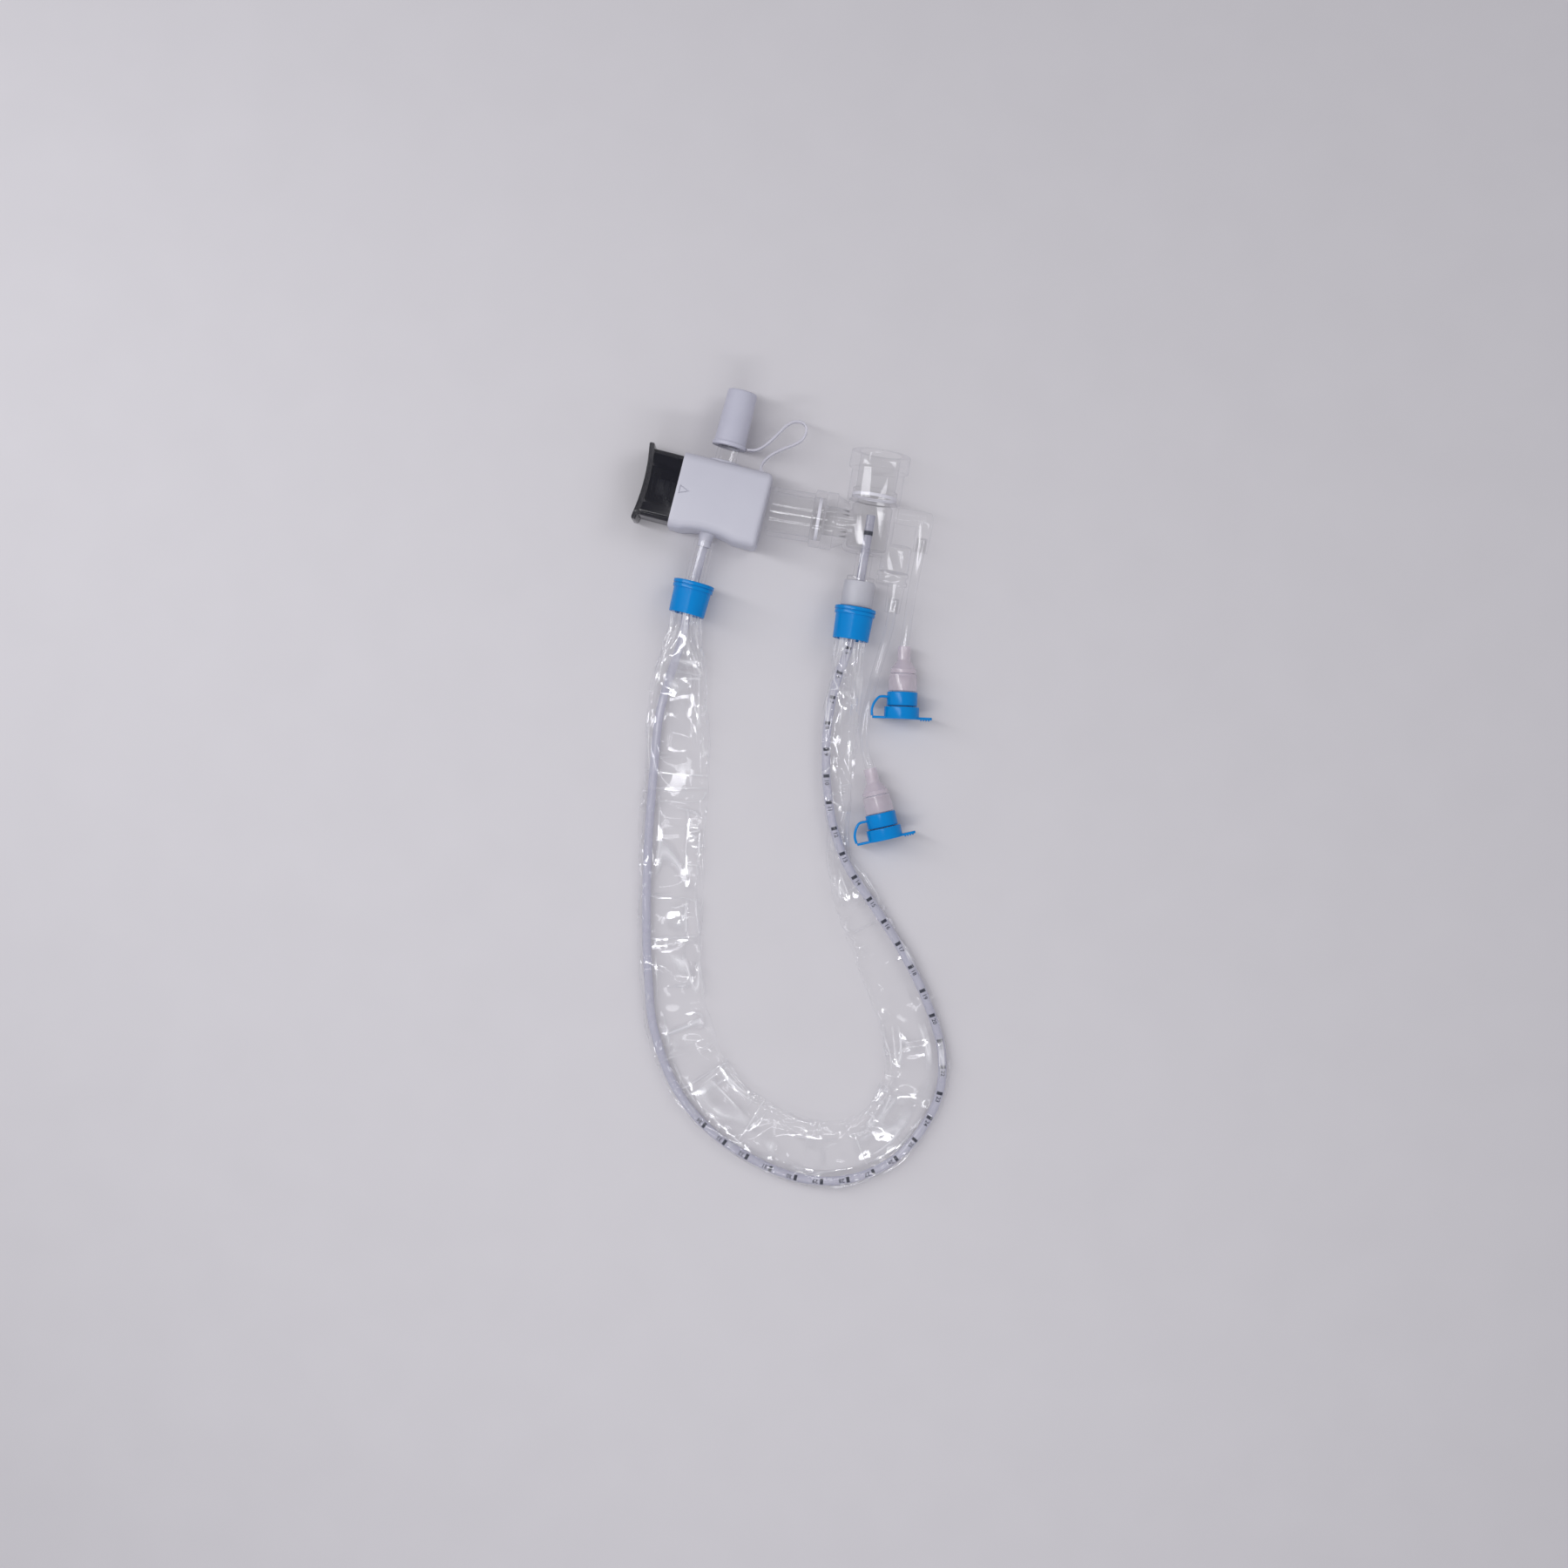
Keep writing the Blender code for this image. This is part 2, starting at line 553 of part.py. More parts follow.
def add_button(frame):
    skirt_width = HOUSING_WIDTH - 2 * SIDE_WALL - 2 * GAP
    skirt_height = HOUSING_HEIGHT - 2 * HOUSING_WALL - 2 * GAP
    corner = HOUSING_CORNER - HOUSING_WALL - GAP
    rings = []
    steps = 16
    for step in range(steps + 1):
        across = PAD_WIDTH / 2 * (2 * step / steps - 1)
        back = PAD_BACK_X - PAD_DISH * (2 * across / PAD_WIDTH) ** 2
        past = max(0.0, abs(across) - PAD_WIDTH / 2 + PAD_CORNER)
        up = PAD_HEIGHT / 2 - PAD_CORNER + math.sqrt(max(0.0, PAD_CORNER ** 2 - past ** 2))
        front = back - PAD_THICKNESS
        rings.append([(back, across, -up), (front + PAD_BEVEL, across, -up),
                      (front, across, PAD_BEVEL - up), (front, across, up - PAD_BEVEL),
                      (front + PAD_BEVEL, across, up), (back, across, up)])
    button = add_object("thumb_button", loft_mesh("thumb_button", rings),
                        smoke_plastic("button_smoke"), frame)
    skirt = add_guide("skirt_guide", prism_mesh(
        "skirt_guide", PAD_BACK_X - PAD_DISH, MOUTH_X + SKIRT_INSIDE, skirt_width, skirt_height,
        corner), frame)
    hollow = add_guide("skirt_hollow", prism_mesh(
        "skirt_hollow", PAD_BACK_X, MOUTH_X + SKIRT_INSIDE + MM, skirt_width - 2 * SKIRT_WALL,
        skirt_height - 2 * SKIRT_WALL, max(0.4 * MM, corner - SKIRT_WALL)), frame)
    combine(skirt, "DIFFERENCE", [hollow])
    parts = [skirt]
    for side in (-1, 1):
        web = prism_mesh("web_guide", PAD_BACK_X - PAD_THICKNESS / 2, PAD_BACK_X + WEB_LENGTH,
                         WEB_THICKNESS, skirt_height - SKIRT_WALL, 0.2 * MM)
        place = side * (BARREL_RADIUS + GAP + WEB_THICKNESS / 2)
        parts.append(add_guide("web_guide", web, frame, (0.0, place, 0.0)))
    bore = PISTON_ROD_RADIUS + GAP
    boss = turned_mesh("boss_guide", tube_outline(
        PAD_BACK_X - PAD_THICKNESS / 2, PAD_BACK_X + PISTON_BOSS_LENGTH, bore + PISTON_BOSS_WALL,
        bore), SMALL_SIDES)
    parts.append(add_guide("boss_guide", boss, frame))
    combine(button, "UNION", parts)


def piston_seal_places():
    rest_end = STUB_X + VALVE_PORT_RADIUS + SEAL_GROOVE_WIDTH
    blocking_start = rest_end + LAND_LENGTH / 2 - BLOCKING_LAND_LENGTH
    front = blocking_start - BUTTON_TRAVEL - LAND_LENGTH
    return (front, blocking_start + LAND_LENGTH / 2, rest_end - LAND_LENGTH / 2)


def add_piston(frame):
    land = BARREL_BORE_RADIUS - GAP
    groove = land - SEAL_GROOVE_DEPTH
    half = SEAL_GROOVE_WIDTH / 2
    front, middle, rear = piston_seal_places()
    edge = LAND_LENGTH / 2 + half / 2
    outline = [(PAD_BACK_X + GAP, 0.0), (PAD_BACK_X + GAP, PISTON_ROD_RADIUS),
               (front - edge, PISTON_ROD_RADIUS), (front - edge, land)]
    outline += [(front - half, land), (front - half, groove),
                (front + half, groove), (front + half, land)]
    outline += [(front + edge, land), (front + edge, PISTON_WAIST_RADIUS),
                (middle - edge, PISTON_WAIST_RADIUS), (middle - edge, land)]
    for place in (middle, rear):
        outline += [(place - half, land), (place - half, groove),
                    (place + half, groove), (place + half, land)]
    outline += [(rear + edge, land), (rear + edge, 0.0)]
    add_object("valve_piston", turned_mesh("valve_piston", outline, SMALL_SIDES),
               soft_white("piston_white"), frame)


def add_piston_seals(frame):
    radius = BARREL_BORE_RADIUS - GAP - SEAL_GROOVE_DEPTH + GAP + SEAL_SECTION_RADIUS
    for which, place in zip(("front", "middle", "rear"), piston_seal_places()):
        name = f"piston_seal_{which}"
        add_object(name, seal_mesh(name, place, radius, SEAL_SECTION_RADIUS, 8),
                   silicone("seal_silicone"), frame)


def add_barrel(frame):
    barrel = add_object("valve_barrel", turned_mesh("valve_barrel", tube_outline(
        BARREL_START_X, BARREL_END_X, BARREL_RADIUS, BARREL_BORE_RADIUS)),
        clear_plastic("barrel_clear"), frame)
    cross = add_guide("cross_bore", turned_mesh("cross_bore", bar_outline(
        -BARREL_RADIUS - MM, BARREL_RADIUS + MM, VALVE_PORT_RADIUS), SMALL_SIDES), frame,
        (STUB_X, 0.0, 0.0), math.radians(90))
    combine(barrel, "DIFFERENCE", [cross])


def add_spring(frame):
    start = PAD_BACK_X + GAP + SPRING_WIRE_RADIUS
    end = BARREL_START_X - GAP - SPRING_WIRE_RADIUS
    steps = 12
    rings = []
    count = SPRING_TURNS * steps
    for step in range(count + 1):
        angle = 2 * math.pi * step / steps
        outward = Vector((0.0, math.cos(angle), math.sin(angle)))
        centre = Vector((start + (end - start) * step / count, 0.0, 0.0))
        centre += outward * SPRING_RADIUS
        ring = []
        for side in range(6):
            turn = math.pi * side / 3
            ring.append(centre + SPRING_WIRE_RADIUS
                        * (outward * math.cos(turn) + Vector((math.sin(turn), 0.0, 0.0))))
        rings.append(ring)
    add_object("return_spring", loft_mesh("return_spring", rings), spring_steel("spring_steel"),
               frame)


def add_stub(frame):
    bore = VALVE_PORT_RADIUS
    start = BARREL_RADIUS + GAP
    flange_end = REAR_HALF - GAP
    flange_start = flange_end - STUB_FLANGE_THICKNESS
    end = HALF_WIDTH + STUB_LENGTH_OUTSIDE
    outline = [(start, bore), (start, STUB_RADIUS), (flange_start, STUB_RADIUS),
               (flange_start, STUB_FLANGE_RADIUS), (flange_end, STUB_FLANGE_RADIUS),
               (flange_end, STUB_RADIUS), (end - 2 * MM, STUB_RADIUS),
               (end, STUB_RADIUS - GAP), (end, bore)]
    add_object("suction_stub", turned_mesh("suction_stub", outline), clear_plastic("stub_clear"),
               frame, (STUB_X, 0.0, 0.0), math.radians(90))


def add_cap(frame):
    end = CAP_Y + CAP_LENGTH
    body = CAP_Y + CAP_FLANGE_THICKNESS
    bore = STUB_RADIUS + GAP
    outline = [(CAP_Y, bore), (CAP_Y, CAP_FLANGE_RADIUS - 0.2 * MM),
               (CAP_Y + 0.3 * MM, CAP_FLANGE_RADIUS), (body - 0.3 * MM, CAP_FLANGE_RADIUS),
               (body, CAP_FLANGE_RADIUS - 0.2 * MM), (body, CAP_RADIUS),
               (end - 0.6 * MM, CAP_TOP_RADIUS), (end, CAP_TOP_RADIUS - 0.6 * MM), (end, 0.0),
               (end - CAP_END_WALL, 0.0), (end - CAP_END_WALL, bore)]
    add_object("port_cap", turned_mesh("port_cap", outline), soft_white("cap_white"), frame,
               (STUB_X, 0.0, 0.0), math.radians(90))


def add_tether():
    # A flat strap from the cap's flange to a foot on the housing's side.
    start = in_valve(STUB_X + CAP_FLANGE_RADIUS + GAP, CAP_Y + CAP_FLANGE_THICKNESS / 2)
    root_x = STUB_X + STUB_FROM_MOUTH - 0.6 * MM
    root = in_valve(root_x, HALF_WIDTH + GAP)
    middle = [(x * MM, y * MM) for x, y in TETHER_ROUTE]
    route = [(start.x, start.y)] + middle + [(root.x, root.y)]
    points = smooth_points([(x, y, 0.0) for x, y in route], 1.3 * MM)
    rings = []
    half = TETHER_WIDTH / 2
    height = HOUSING_HEIGHT / 2
    foot_start = len(points) - 2
    for place, point in enumerate(points):
        near = points[max(0, place - 1)]
        far = points[min(len(points) - 1, place + 1)]
        along = (far - near).normalized()
        side = Vector((-along.y, along.x, 0.0))
        reach = TETHER_THICKNESS / 2
        if place > foot_start:
            side = Matrix.Rotation(VALVE_TURN, 3, "Z") @ Vector((1.0, 0.0, 0.0))
            reach = TETHER_FOOT_LENGTH / 2
        lift = Vector((0.0, 0.0, half))
        centre = Vector((point.x, point.y, height))
        rings.append([centre + side * reach + lift, centre - side * reach + lift,
                      centre - side * reach - lift, centre + side * reach - lift])
    add_object("cap_tether", loft_mesh("cap_tether", rings), soft_white("tether_white"))


def add_adapter(frame):
    bore = NECK_RADIUS + GAP
    spigot = VALVE_RING_Y + RING_LIP_LENGTH + GAP
    spigot_end = spigot + SPIGOT_LENGTH
    outline = [(ADAPTER_Y, bore), (ADAPTER_Y, ADAPTER_RADIUS), (spigot, ADAPTER_RADIUS),
               (spigot, SPIGOT_RADIUS), (spigot_end - MM, SPIGOT_RADIUS),
               (spigot_end, SPIGOT_RADIUS - MM), (spigot_end, bore)]
    add_object("catheter_adapter", turned_mesh("catheter_adapter", outline),
               clear_plastic("adapter_clear"), frame, (STUB_X, 0.0, 0.0), math.radians(-90))


def ring_outline(start, mouth):
    flange = start + RING_FLANGE_LENGTH
    end = start + RING_LENGTH
    tier = start + RING_FLANGE_LENGTH / 2
    return [(start, mouth), (start, RING_FLANGE_RADIUS - RING_STEP),
            (start + RING_STEP, RING_FLANGE_RADIUS), (tier, RING_FLANGE_RADIUS),
            (tier, RING_FLANGE_RADIUS - RING_STEP), (flange, RING_FLANGE_RADIUS - RING_STEP),
            (flange, RING_RADIUS), (end, RING_END_RADIUS), (end, RING_BORE_RADIUS),
            (start + RING_LIP_LENGTH, RING_BORE_RADIUS), (start + RING_LIP_LENGTH, mouth)]


def add_sleeve_rings(valve, tee):
    outline = ring_outline(VALVE_RING_Y, ADAPTER_RADIUS + GAP)
    add_object("sleeve_ring_valve", turned_mesh("sleeve_ring_valve", outline),
               blue_plastic("ring_blue"), valve, (STUB_X, 0.0, 0.0), math.radians(-90))
    outline = ring_outline(TEE_RING_START, SPIGOT_RADIUS + GAP)
    add_object("sleeve_ring_tee", turned_mesh("sleeve_ring_tee", outline),
               blue_plastic("tee_ring_blue"), tee, (0.0, 0.0, 0.0), math.radians(-90))


def add_sleeve():
    # Thin film tube, clamped at both ends between a ring and the spigot inside it.
    end_radius = (RING_BORE_RADIUS - GAP) / MM
    valve_end = VALVE_RING_Y + RING_LENGTH
    tee_end = TEE_RING_START + RING_LENGTH
    mouths = [(*(in_valve(STUB_X, -along) / MM), end_radius, end_radius)
              for along in (valve_end - SLEEVE_TUCK, valve_end + 0.5 * MM)]
    mouths += [(*(in_tee(0.0, -along) / MM), end_radius, end_radius)
               for along in (tee_end + 0.5 * MM, tee_end - SLEEVE_TUCK)]
    stations = [mouths[1], *SLEEVE_ROUTE, mouths[2]]
    points = [mouths[0]] + smooth_points(stations, SLEEVE_SPACING / MM) + [mouths[3]]
    outer, inner = [], []
    for place, point in enumerate(points):
        near = points[max(0, place - 1)]
        far = points[min(len(points) - 1, place + 1)]
        along = (Vector(far[:3]) - Vector(near[:3])).normalized()
        side = Vector((-along.y, along.x, 0.0)).normalized()
        centre = Vector(point[:3])
        width, height = point[3], point[4]
        flat = min(1.0, max(0.0, width / end_radius - 1.0) * 1.6)
        power = 2.0 / (2.0 + 1.4 * flat)
        for rows, wall in ((outer, 0.0), (inner, SLEEVE_WALL / MM)):
            row = []
            for k in range(SLEEVE_SIDES):
                angle = 2 * math.pi * k / SLEEVE_SIDES
                across = math.copysign(abs(math.cos(angle)) ** power, math.cos(angle))
                up = math.copysign(abs(math.sin(angle)) ** power, math.sin(angle))
                row.append((centre + side * across * (width - wall)
                            + Vector((0.0, 0.0, up * (height - wall)))) * MM)
            rows.append(row)
    rings = outer + inner[::-1]
    add_object("sleeve", loft_mesh("sleeve", rings, wrap=True), make_paint(
        "sleeve_film", (0.80, 0.81, 0.84), 0.15, alpha=0.35))


def add_catheter():
    start = NECK_ROOT_Y + GAP
    valve_end = VALVE_RING_Y + RING_LENGTH
    tee_end = TEE_RING_START + RING_LENGTH
    route = [in_valve(STUB_X, -start)]
    for share in (0.35, 0.7, 1.0):
        route.append(in_valve(STUB_X, -(start + share * (valve_end - start))))
    route += [Vector(point) * MM for point in CATHETER_ROUTE]
    tip = TIP_ABOVE_CENTRE
    for share in (0.0, 0.3, 0.6, 1.0):
        route.append(in_tee(0.0, -tee_end + share * (tip + tee_end)))
    add_tube("catheter", smooth_points(route, 4.8 * CATHETER_RADIUS), CATHETER_RADIUS,
             make_paint("catheter_pvc", (0.55, 0.58, 0.65), 0.35))


def add_tee(frame):
    bore = TEE_RADIUS - TEE_WALL
    journal_end = TEE_ABOVE + JOURNAL_LENGTH
    round_in = TEE_END_ROUND * 0.3
    groove = TEE_ABOVE + JOURNAL_LENGTH / 2
    journal = PATIENT_JOURNAL_RADIUS
    barrel = turned_mesh("tee_body", [
        (-TEE_BELOW, 0.0), (-TEE_BELOW, TEE_RADIUS - TEE_END_ROUND),
        (-TEE_BELOW + round_in, TEE_RADIUS - round_in), (-TEE_BELOW + TEE_END_ROUND, TEE_RADIUS),
        (TEE_ABOVE, TEE_RADIUS), (TEE_ABOVE, journal), (groove - SWIVEL_GROOVE_WIDTH / 2, journal),
        (groove - SWIVEL_GROOVE_WIDTH / 2, journal - SWIVEL_GROOVE_DEPTH),
        (groove + SWIVEL_GROOVE_WIDTH / 2, journal - SWIVEL_GROOVE_DEPTH),
        (groove + SWIVEL_GROOVE_WIDTH / 2, journal), (journal_end, journal), (journal_end, 0.0)])
    body = add_object("tee_body", barrel, clear_plastic("tee_clear"), frame, (0.0, 0.0, 0.0),
                      math.radians(90))
    arm_groove = ARM_COLLAR_END + JOURNAL_LENGTH / 2
    arm_journal = VENTILATOR_JOURNAL_RADIUS
    arm = add_guide("arm_guide", turned_mesh("arm_guide", [
        (TEE_RADIUS / 2, 0.0), (TEE_RADIUS / 2, TEE_RADIUS - TEE_WALL),
        (ARM_CONE_START, TEE_RADIUS - TEE_WALL), (ARM_CONE_END, COLLAR_RADIUS - 0.6 * MM),
        (ARM_CONE_END, COLLAR_RADIUS), (ARM_COLLAR_END, COLLAR_RADIUS),
        (ARM_COLLAR_END, arm_journal), (arm_groove - SWIVEL_GROOVE_WIDTH / 2, arm_journal),
        (arm_groove - SWIVEL_GROOVE_WIDTH / 2, arm_journal - SWIVEL_GROOVE_DEPTH),
        (arm_groove + SWIVEL_GROOVE_WIDTH / 2, arm_journal - SWIVEL_GROOVE_DEPTH),
        (arm_groove + SWIVEL_GROOVE_WIDTH / 2, arm_journal),
        (ARM_COLLAR_END + JOURNAL_LENGTH, arm_journal),
        (ARM_COLLAR_END + JOURNAL_LENGTH, 0.0)]), frame, (0.0, 0.0, 0.0), math.pi)
    flange = CATHETER_PORT_END - CATHETER_FLANGE_THICKNESS
    port = add_guide("catheter_port_guide", turned_mesh("catheter_port_guide", [
        (TEE_BELOW - TEE_WALL / 2, 0.0), (TEE_BELOW - TEE_WALL / 2, CATHETER_PORT_RADIUS),
        (flange, CATHETER_PORT_RADIUS), (flange, CATHETER_FLANGE_RADIUS),
        (CATHETER_PORT_END, CATHETER_FLANGE_RADIUS), (CATHETER_PORT_END, 0.0)], SMALL_SIDES),
        frame, (0.0, 0.0, 0.0), math.radians(-90))
    elbow_boss = add_guide("elbow_boss", turned_mesh("elbow_boss", bar_outline(
        TEE_RADIUS / 2, ELBOW_BOSS_END, ELBOW_BOSS_RADIUS), SMALL_SIDES), frame,
        (0.0, ELBOW_ABOVE, 0.0))
    fitting_boss = add_guide("fitting_boss", turned_mesh("fitting_boss", [
        (FITTING_BOSS_TOP, 0.0), (FITTING_BOSS_TOP, FITTING_BOSS_RADIUS - MM),
        (FITTING_BOSS_TOP + MM, FITTING_BOSS_RADIUS), (FITTING_BOSS_END, FITTING_BOSS_RADIUS),
        (FITTING_BOSS_END, 0.0)]), frame, (FITTING_X, 0.0, 0.0), math.radians(-90))
    hollows = [
        add_guide("barrel_bore", turned_mesh("barrel_bore", [
            (-TEE_BELOW + TEE_WALL, 0.0), (-TEE_BELOW + TEE_WALL, bore - MM),
            (-TEE_BELOW + TEE_WALL + MM, bore), (TEE_ABOVE - TEE_WALL, bore),
            (TEE_ABOVE, journal - JOURNAL_WALL - SWIVEL_GROOVE_DEPTH / 2),
            (journal_end + MM, journal - JOURNAL_WALL - SWIVEL_GROOVE_DEPTH / 2),
            (journal_end + MM, 0.0)]), frame, (0.0, 0.0, 0.0), math.radians(90)),
        add_guide("arm_bore", turned_mesh("arm_bore", bar_outline(
            0.0, ARM_COLLAR_END + JOURNAL_LENGTH + MM,
            arm_journal - JOURNAL_WALL - SWIVEL_GROOVE_DEPTH / 2)), frame,
            (0.0, 0.0, 0.0), math.pi),
        add_guide("catheter_bore", turned_mesh("catheter_bore", bar_outline(
            TEE_BELOW - 2 * TEE_WALL, CATHETER_PORT_END + MM, CATHETER_RADIUS + GAP),
            SMALL_SIDES), frame, (0.0, 0.0, 0.0), math.radians(-90)),
        add_guide("elbow_bore", turned_mesh("elbow_bore", [
            (TEE_RADIUS - 3 * TEE_WALL, 0.0), (TEE_RADIUS - 3 * TEE_WALL, ELBOW_WAY_RADIUS),
            (ELBOW_BOSS_END - ELBOW_PLUG_LENGTH - GAP, ELBOW_WAY_RADIUS),
            (ELBOW_BOSS_END - ELBOW_PLUG_LENGTH - GAP, ELBOW_PLUG_RADIUS + GAP),
            (ELBOW_BOSS_END + MM, ELBOW_PLUG_RADIUS + GAP), (ELBOW_BOSS_END + MM, 0.0)],
            SMALL_SIDES), frame, (0.0, ELBOW_ABOVE, 0.0)),
        add_guide("fitting_bore", turned_mesh("fitting_bore", bar_outline(
            FITTING_BOSS_END - FITTING_PLUG_LENGTH - GAP, FITTING_BOSS_END + MM,
            FITTING_BOSS_RADIUS - FITTING_WALL)), frame, (FITTING_X, 0.0, 0.0),
            math.radians(-90)),
    ]
    combine(body, "UNION", [arm, port, elbow_boss, fitting_boss])
    combine(body, "DIFFERENCE", hollows)


def add_swivels(tee):
    patient = add_frame("patient_axis", TEE_PLACE)
    ventilator = add_frame("ventilator_axis", TEE_PLACE)
    start = PATIENT_START
    end = start + PATIENT_LENGTH
    rim = end - PATIENT_RIM_LENGTH
    seat = TEE_ABOVE + JOURNAL_LENGTH + GAP
    bearing = PATIENT_JOURNAL_RADIUS + GAP
    outline = [(start, bearing), (start, PATIENT_RADIUS), (rim, PATIENT_RADIUS),
               (rim + 0.4 * MM, PATIENT_RIM_RADIUS), (end - 0.4 * MM, PATIENT_RIM_RADIUS),
               (end, PATIENT_RIM_RADIUS - 0.3 * MM), (end, PORT_BORE_RADIUS + 0.5 * MM),
               (end - 0.8 * MM, PORT_BORE_RADIUS), (seat, PORT_BORE_RADIUS - 0.2 * MM),
               (seat, bearing)]
    add_object("patient_swivel", turned_mesh("patient_swivel", outline),
               clear_plastic("patient_clear"), patient, (0.0, 0.0, 0.0), math.radians(90))
    start = VENTILATOR_START
    end = start + VENTILATOR_LENGTH
    collar = start + VENTILATOR_COLLAR_LENGTH
    seat = ARM_COLLAR_END + JOURNAL_LENGTH + GAP
    bearing = VENTILATOR_JOURNAL_RADIUS + GAP
    outline = [(start, bearing), (start, COLLAR_RADIUS), (collar, COLLAR_RADIUS),
               (collar + 0.4 * MM, VENTILATOR_RADIUS), (end, VENTILATOR_RADIUS),
               (end, PORT_BORE_RADIUS), (seat, PORT_BORE_RADIUS - 0.2 * MM), (seat, bearing)]
    add_object("ventilator_swivel", turned_mesh("ventilator_swivel", outline),
               clear_plastic("ventilator_clear"), ventilator, (0.0, 0.0, 0.0), math.pi)
    for name, place, journal, turn in (
            ("patient_seal", TEE_ABOVE, PATIENT_JOURNAL_RADIUS, math.radians(90)),
            ("ventilator_seal", ARM_COLLAR_END, VENTILATOR_JOURNAL_RADIUS, math.pi)):
        radius = journal - SWIVEL_GROOVE_DEPTH + GAP + SWIVEL_SEAL_RADIUS
        add_object(name, seal_mesh(name, place + JOURNAL_LENGTH / 2, radius,
                                   SWIVEL_SEAL_RADIUS, 8),
                   silicone(name + "_silicone"), tee, (0.0, 0.0, 0.0), turn)


def add_seal_housing(frame):
    start = SEAL_HOUSING_START
    end = start + SEAL_HOUSING_LENGTH
    spigot_end = end + GAP + SEAL_SPIGOT_LENGTH
    bore = CATHETER_RADIUS + GAP
    floor = start + WIPER_LENGTH + 3 * GAP
    outline = [(start, WIPER_RADIUS + GAP), (start, SEAL_HOUSING_RADIUS),
               (end, SEAL_HOUSING_RADIUS), (end, SPIGOT_RADIUS), (spigot_end, SPIGOT_RADIUS),
               (spigot_end, bore), (floor, bore), (floor, WIPER_RADIUS + GAP)]
    add_object("seal_housing", turned_mesh("seal_housing", outline),
               frosted_plastic("seal_housing_frosted"), frame, (0.0, 0.0, 0.0),
               math.radians(-90))
    start += GAP
    end = start + WIPER_LENGTH
    middle = (start + end) / 2
    outline = [(start, bore + WIPER_DISH), (start, WIPER_RADIUS), (end, WIPER_RADIUS),
               (end, bore + WIPER_DISH), (middle + 0.5 * MM, bore), (middle - 0.5 * MM, bore)]
    add_object("wiper_seal", turned_mesh("wiper_seal", outline, SMALL_SIDES),
               silicone("wiper_silicone"), frame, (0.0, 0.0, 0.0), math.radians(-90))


def add_elbow(frame):
    start = ELBOW_BOSS_END - ELBOW_PLUG_LENGTH
    shoulder = ELBOW_BOSS_END + GAP
    elbow = add_object("flush_elbow", turned_mesh("flush_elbow", [
        (start, 0.0), (start, ELBOW_PLUG_RADIUS), (shoulder, ELBOW_PLUG_RADIUS),
        (shoulder, ELBOW_RADIUS), (ELBOW_REACH, ELBOW_RADIUS),
        (ELBOW_REACH + ELBOW_RADIUS * 0.7, ELBOW_RADIUS * 0.7),
        (ELBOW_REACH + ELBOW_RADIUS, 0.0)], SMALL_SIDES), clear_plastic("elbow_clear"), frame,
        (0.0, ELBOW_ABOVE, 0.0))
    socket = add_guide("elbow_socket", turned_mesh("elbow_socket", [
        (-ELBOW_RADIUS * 0.9, 0.0), (-ELBOW_RADIUS * 0.9, ELBOW_RADIUS * 0.4),
        (-ELBOW_RADIUS * 0.4, ELBOW_RADIUS * 0.9), (0.0, ELBOW_RADIUS),
        (ELBOW_RADIUS, ELBOW_RADIUS), (ELBOW_DROP, STEM_RADIUS + GAP), (ELBOW_DROP, 0.0)],
        SMALL_SIDES), frame, (ELBOW_REACH, ELBOW_ABOVE, 0.0), math.radians(-90))
    way = add_guide("elbow_through", turned_mesh("elbow_through", bar_outline(
        start - MM, ELBOW_REACH + ELBOW_WAY_RADIUS / 2, ELBOW_WAY_RADIUS), SMALL_SIDES), frame,
        (0.0, ELBOW_ABOVE, 0.0))
    stop = ELBOW_DROP - TUBE_SOCKET_DEPTH - GAP
    down = add_guide("elbow_down", turned_mesh("elbow_down", [
        (0.0, 0.0), (0.0, ELBOW_WAY_RADIUS), (stop, ELBOW_WAY_RADIUS),
        (stop, FLUSH_TUBE_RADIUS + GAP), (ELBOW_DROP + MM, FLUSH_TUBE_RADIUS + GAP),
        (ELBOW_DROP + MM, 0.0)], SMALL_SIDES), frame, (ELBOW_REACH, ELBOW_ABOVE, 0.0),
        math.radians(-90))
    combine(elbow, "UNION", [socket])
    combine(elbow, "DIFFERENCE", [way, down])


